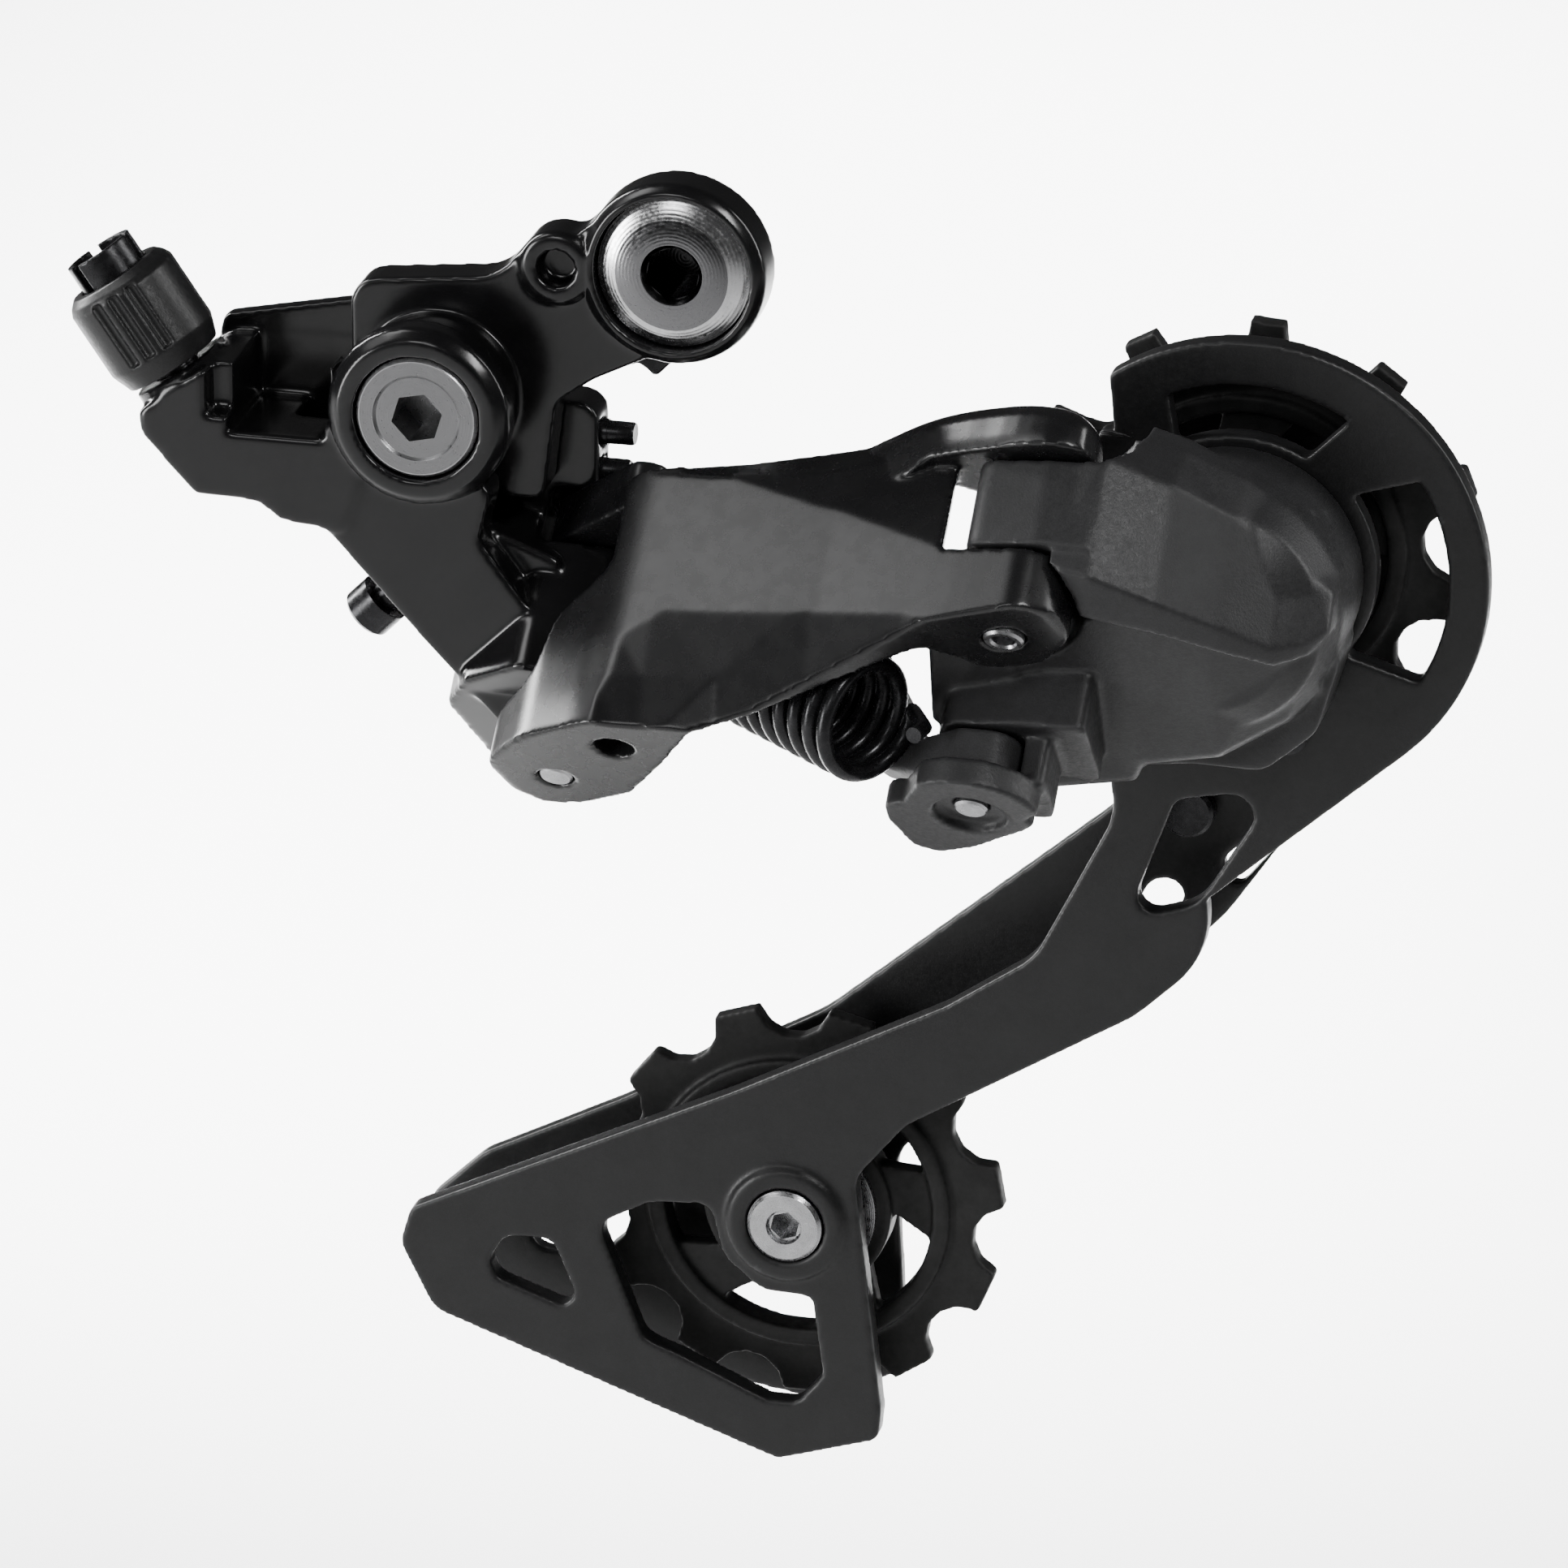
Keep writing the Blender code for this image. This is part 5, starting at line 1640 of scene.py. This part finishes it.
# ================================================================ cage
OUT_FRONT, OUT_BACK = -3.1, -6.0  # depths on the outboard axis, negative = inboard
IN_FRONT, IN_BACK = -15.0, -17.0
arc_upper = arc(61.9, -32.5, 26.6, 126, -48, 15)
outer_outline = (
    arc_upper
    + fillet(
        [
            (59.1, -77.7, 25),
            (50.0, -86.4, 12),
            (24.0, -102.4, 5),
            (18.2, -109.5, 4),
            (21.3, -138.0, 1),
            (21.0, -141.6, 1.6),
            (9.3, -145.3, 2.5),
            (-31.0, -130.9, 4),
            (-34.9, -123.0, 3),
            (-33.6, -118.6, 2),
            (4, -100.4, 20),
            (28.5, -87.4, 10),
            (38.5, -80.5, 8),
            (47.5, -62.5, 8),
            (45.0, -44.0, 8),
            (44.0, -26.0, 6),
            (45.8, -12.5, 1),
        ],
        3,
    )
)


def windows(grow=0.0):
    g = grow
    top = arc(61.5, -32.3, 21.4 + g, 114, 58, 5) + arc(
        60.8, -31.7, 14.9 - g, 60, 118, 5
    )
    side_hole = arc(61.5, -32.3, 22.6 + g, 32, -30, 5) + arc(
        60.8, -31.7, 15.4 - g, -38, 36, 5
    )
    triangle = fillet(
        [(54.2, -60.0, 2), (65.6, -57.6, 3), (57.0, -72.2, 6), (48.8, -74.8, 2)], 2
    )
    slot = fillet(
        [
            (-24.4, -124.0, 1.5),
            (-22.6, -120.9, 2),
            (-17.0, -120.6, 2),
            (-14.2, -127.4, 1.5),
            (-15.6, -129.0, 1.2),
            (-23.6, -126.2, 2),
        ],
        2,
    )
    lower = fillet(
        [
            (-11.6, -118.2, 2),
            (-5.6, -114.9, 2),
            (1.5, -114.3, 2),
            (3.0, -120.6, 4),
            (7.5, -124.4, 4),
            (13.3, -124.6, 1),
            (14.6, -134.2, 1.5),
            (11.6, -138.0, 2),
            (8.0, -138.0, 2),
            (-2.4, -133.4, 2),
            (-6.4, -132.0, 3),
        ],
        2,
    )
    return top, side_hole, triangle, slot, lower


outer_plate = slab(
    "outer_cage_plate",
    [outer_outline, *windows()],
    OUT_BACK,
    OUT_FRONT,
    side(0, 0),
)
outer_plate = join(
    outer_plate,
    turned(
        "lower_boss",
        [(0, -2.3), (6.5, -2.3), (7.3, -3.3), (7.3, -5.0), (0, -5.0)],
        side(*T_AXIS),
        28,
    ),
    rod("inner_boss", 4.4, -7.4, -5.0, side(*T_AXIS), 28),
    rod("guide_boss", 4.6, -7.4, -5.0, PF, 28),
)
outer_plate = cut(
    outer_plate,
    rod("c1", 2.45, -9, 4, side(*T_AXIS), 24),
    rod("c2", 4.5, -3.9, 4, side(*T_AXIS), 32),
    rod("c3", 2.45, -9, 4, PF, 24),
    rod("c4", 1.55, -9, 4, side(66.6, -50.8), 16),
)
origin_at(part(outer_plate, SATIN), (P_AXIS[0], 0, P_AXIS[1]))

inner_outline = fillet(
    [
        (76.5, -43.0, 12),
        (72.0, -57.0, 12),
        (57.5, -78.6, 25),
        (49.0, -86.8, 12),
        (29.0, -101.4, 8),
        (20.2, -111.5, 5),
        (21.6, -138.0, 3),
        (12.0, -143.2, 6),
        (4.0, -142.0, 6),
        (-31.5, -130.2, 4),
        (-35.4, -123.2, 3),
        (-28.0, -116.2, 4),
        (-12.0, -108.0, 10),
        (11.8, -94.6, 20),
        (29.4, -79.6, 20),
        (46.5, -65.0, 8),
        (49.0, -52.0, 8),
        (46.0, -38.0, 10),
        (47.0, -20.0, 10),
        (61.0, -15.4, 12),
        (75.0, -21.0, 12),
    ],
    3,
)
inner_plate = slab(
    "inner_cage_plate",
    [
        inner_outline,
        fillet([(51.6, -80.5, 2.5), (46.8, -79.5, 2), (49.5, -74.2, 2.5), (53.5, -75.0, 2.5)]),
        fillet([(57.3, -71.5, 1.5), (62.0, -67.0, 1.5), (63.0, -70.0, 1.0), (58.6, -75.5, 1.5)]),
        fillet(
            [
                (-23.0, -124.5, 2),
                (-14.0, -120.0, 2),
                (-6.0, -116.0, 2),
                (-6.0, -121.0, 2),
                (-13.0, -128.0, 2),
                (-22.0, -127.5, 2),
            ]
        ),
        fillet(
            [
                (3.0, -126.5, 3),
                (10.5, -128.0, 3),
                (15.0, -126.0, 3),
                (15.5, -136.5, 3),
                (5.0, -138.5, 3),
                (0.5, -132.0, 3),
            ]
        ),
    ],
    IN_BACK,
    IN_FRONT,
    side(0, 0),
)
inner_plate = join(
    inner_plate,
    rod("boss_t", 4.4, -15.6, -13.5, side(*T_AXIS), 28),
    rod("boss_g", 4.6, -15.6, -13.5, PF, 28),
)
inner_plate = cut(
    inner_plate,
    rod("c1", 2.3, -20, -10, side(*T_AXIS), 24),
    rod("c2", 2.45, -20, -10, PF, 24),
    rod("c3", 1.6, -20, -10, side(53.6, -65.4), 16),
)
origin_at(part(inner_plate, SATIN), (P_AXIS[0], 0, P_AXIS[1]))

# pivot shaft of the cage, anchored in the outer plate and turning in the P body
p_axle = turned(
    "p_axle",
    [
        (0, 12.4),
        (3.95, 12.4),
        (3.95, -2.6),
        (7.6, -2.6),
        (7.6, -2.95),
        (1.9, -2.95),
        (1.9, 2.0),
        (0, 2.0),
    ],
    PF,
    24,
)
part(p_axle, STEEL)
part(
    turned(
        "cage_stop_pin",
        [(0, -2.3), (1.9, -2.3), (2.4, -2.6), (2.4, -2.95), (1.5, -2.95)]
        + [(1.5, -6.2), (0, -6.2)],
        side(66.6, -50.8),
        20,
    ),
    BLACK_STEEL,
)
part(
    turned(
        "inner_plate_screw",
        [(0, -12.6), (2.6, -12.6), (3.0, -13.0), (3.0, -14.7), (1.55, -14.7)]
        + [(1.55, -17.8), (0, -17.8)],
        side(53.6, -65.4),
        20,
    ),
    BLACK_STEEL,
)


# ================================================================ pulleys
def pulley(name, axis, tip_r, tip_half, phase, seat_r, seat_at):
    """Toothed wheel: roller seats on the pitch circle between square tips."""
    outline = []
    step = 2 * math.pi / PULLEY_TEETH
    for k in range(PULLEY_TEETH):
        mid = phase + step * k
        for sgn, order in ((-1, 0), (1, 1)):
            seat = mid + sgn * step / 2
            cx, cy = seat_at * math.cos(seat), seat_at * math.sin(seat)
            tooth_side = []
            for q in range(3):
                # from the seat's bottom up this tooth's flank
                turn = math.pi + sgn * math.radians(14 + 29 * q)
                tooth_side.append(
                    (
                        cx + seat_r * math.cos(seat + turn),
                        cy + seat_r * math.sin(seat + turn),
                    )
                )
            dx, dy = math.cos(mid), math.sin(mid)
            tooth_side.append(
                (
                    tip_r * dx - sgn * tip_half * dy,
                    tip_r * dy + sgn * tip_half * dx,
                )
            )
            outline += tooth_side if order == 0 else tooth_side[::-1]
    holes = []
    for k in range(5):
        a = math.degrees(phase) + 72 * k
        holes.append(
            arc(0, 0, 16.0, a + 8, a + 50, 3) + arc(0, 0, 10.6, a + 62, a + 22, 3)
        )
    wheel = slab(
        name,
        [outline, *holes],
        -PULLEY_Y - 1.1,
        -PULLEY_Y + 1.1,
        side(*axis),
    )
    wheel = join(
        wheel,
        turned(
            "rim",
            [(17.6, 1.9), (17.6, -1.9), (15.6, -1.9), (15.6, 1.9)],
            side(*axis) @ Matrix.Translation((0, 0, -PULLEY_Y)),
            22,
        ),
        tube(
            "hub",
            10.9,
            4.3,
            -2.2,
            2.2,
            side(*axis) @ Matrix.Translation((0, 0, -PULLEY_Y)),
            24,
        ),
    )
    wheel = cut(wheel, rod("bore", 5.55, -20, 0, side(*axis), 24))
    return wheel


for label, axis, tip, half, ph, seat_r, seat_at in (
    ("guide", P_AXIS, 26.0, 1.9, math.radians(20.8), ROLLER_R + 0.3, PITCH_R + 0.9),
    ("tension", T_AXIS, 23.6, 2.5, math.radians(10.0), ROLLER_R + 0.3, PITCH_R + 1.9),
):
    wheel = pulley(label + "_pulley", axis, tip, half, ph, seat_r, seat_at)
    origin_at(part(wheel, RESIN), (axis[0], PULLEY_Y, axis[1]))
    f = side(*axis) @ Matrix.Translation((0, 0, -PULLEY_Y))
    part(tube(label + "_bushing", 5.2, 2.45, -2.6, 2.6, f, 20), STEEL)
    for where, sgn in (("outer", 1), ("inner", -1)):
        a, b = sorted((sgn * 2.3, sgn * 2.95))
        part(tube("%s_cap_%s" % (label, where), 9.3, 5.35, a, b, f, 24), SILVER)

guide_bolt = turned(
    "guide_pulley_bolt",
    [(0, -3.3), (2.4, -3.3), (2.4, -17.2), (4.4, -17.2), (4.4, -18.6), (0, -18.6)],
    PF,
    28,
)
guide_bolt = cut(guide_bolt, slab("hex", [hexagon(3.0)], -19.5, -16.6, PF))
part(guide_bolt, STEEL)
t_frame = side(*T_AXIS)
tension_bolt = turned(
    "tension_pulley_bolt",
    [(0, -2.0), (3.9, -2.0), (4.3, -2.4), (4.3, -3.7), (2.4, -3.7), (2.4, -12.9)]
    + [(2.25, -12.9), (2.25, -17.4), (0, -17.4)],
    t_frame,
    24,
)
tension_bolt = cut(
    tension_bolt,
    slab("hex", [hexagon(3.0, 0.3)], -5.5, 0, t_frame),
    turned("mouth", [(0, -1.0), (2.6, -1.0), (1.75, -2.6), (0, -2.6)], t_frame, 24),
)
part(tension_bolt, STEEL)

for leftover in list(TOOLS.objects):
    bpy.data.objects.remove(leftover)
# ================================================================ light settings
WORLD_STRENGTH = 0.06
LIGHTS = [
    # name, place, aimed at, width, watts, height, spread in degrees
    ("key", (-0.75, -0.35, 0.75), (0.01, -0.01, -0.06), 0.35, 1.5, 0.7, 180),
    ("sheen", (-0.125, -0.062, 0.145), (-0.005, -0.02, -0.035), 0.04, 0.034, 0.07, 180),
    ("rim_left", (-0.9, 0.30, 0.30), (0.01, -0.01, -0.06), 0.15, 17.0, 0.8, 180),
    ("front", (-0.25, -1.0, 0.55), (0.01, -0.01, -0.06), 0.30, 1.5, 0.30, 180),
    ("right", (0.85, 0.25, 0.30), (0.01, -0.01, -0.06), 0.25, 5.0, 0.8, 180),
    ("backdrop", (-0.13, 0.56, 0.25), (-0.13, 0.5601, -0.25), 0.50, 12.0, 0.80, 50),
    ("low_left", (-0.8, -0.7, -0.05), (0.01, -0.01, -0.06), 0.3, 9.0, 0.6, 180),
    ("cover", (0.16, -0.16, 0.16), (0.06, -0.02, -0.03), 0.06, 0.33, 0.09, 180),
]

# ================================================================ studio
def soft_light(name, at, look_at, size, power, size_y=None, spread=180):
    data = bpy.data.lights.new(name, "AREA")
    data.energy = power
    data.shape = "RECTANGLE" if size_y else "DISK"
    data.size = size
    if size_y:
        data.size_y = size_y
    data.spread = math.radians(spread)
    obj = bpy.data.objects.new(name, data)
    bpy.context.scene.collection.objects.link(obj)
    obj.location = at
    obj.rotation_mode = "QUATERNION"
    obj.rotation_quaternion = (Vector(look_at) - Vector(at)).to_track_quat("-Z", "Y")
    return obj


world = bpy.data.worlds.new("studio")
bpy.context.scene.world = world
world.use_nodes = True
sky = world.node_tree.nodes["Background"]
sky.inputs["Color"].default_value = (1.0, 1.0, 1.0, 1)
sky.inputs["Strength"].default_value = WORLD_STRENGTH

for row in LIGHTS:
    soft_light(*row)

floor_mesh = bpy.data.meshes.new("floor")
FLOOR_Z = CAD_BOX[0].z - 0.10
floor_mesh.from_pydata(
    [(-30, -30, FLOOR_Z), (30, -30, FLOOR_Z), (30, 30, FLOOR_Z), (-30, 30, FLOOR_Z)],
    [],
    [(0, 1, 2, 3)],
)
floor = bpy.data.objects.new("floor", floor_mesh)
bpy.context.scene.collection.objects.link(floor)
n = Nodes("mat_floor")
set_shader(n, (0.86, 0.86, 0.86), 0.9)
floor_mesh.materials.append(n.mat)

RIGHT = Vector((0.97155, 0.23684, 0.0))
UP = Vector((-0.08987, 0.36866, 0.92522))
AHEAD = Vector((-0.21913, 0.89889, -0.37946))
camera_data = bpy.data.cameras.new("camera")
camera_data.sensor_width = 36.0
camera_data.lens = 254.9
camera_data.clip_start, camera_data.clip_end = 0.05, 100
camera = bpy.data.objects.new("camera", camera_data)
bpy.context.scene.collection.objects.link(camera)
pose = Matrix((RIGHT, UP, -AHEAD)).transposed().to_4x4()
pose.translation = Vector((0.27944, -1.10179, 0.40410))
camera.matrix_world = pose
bpy.context.scene.camera = camera
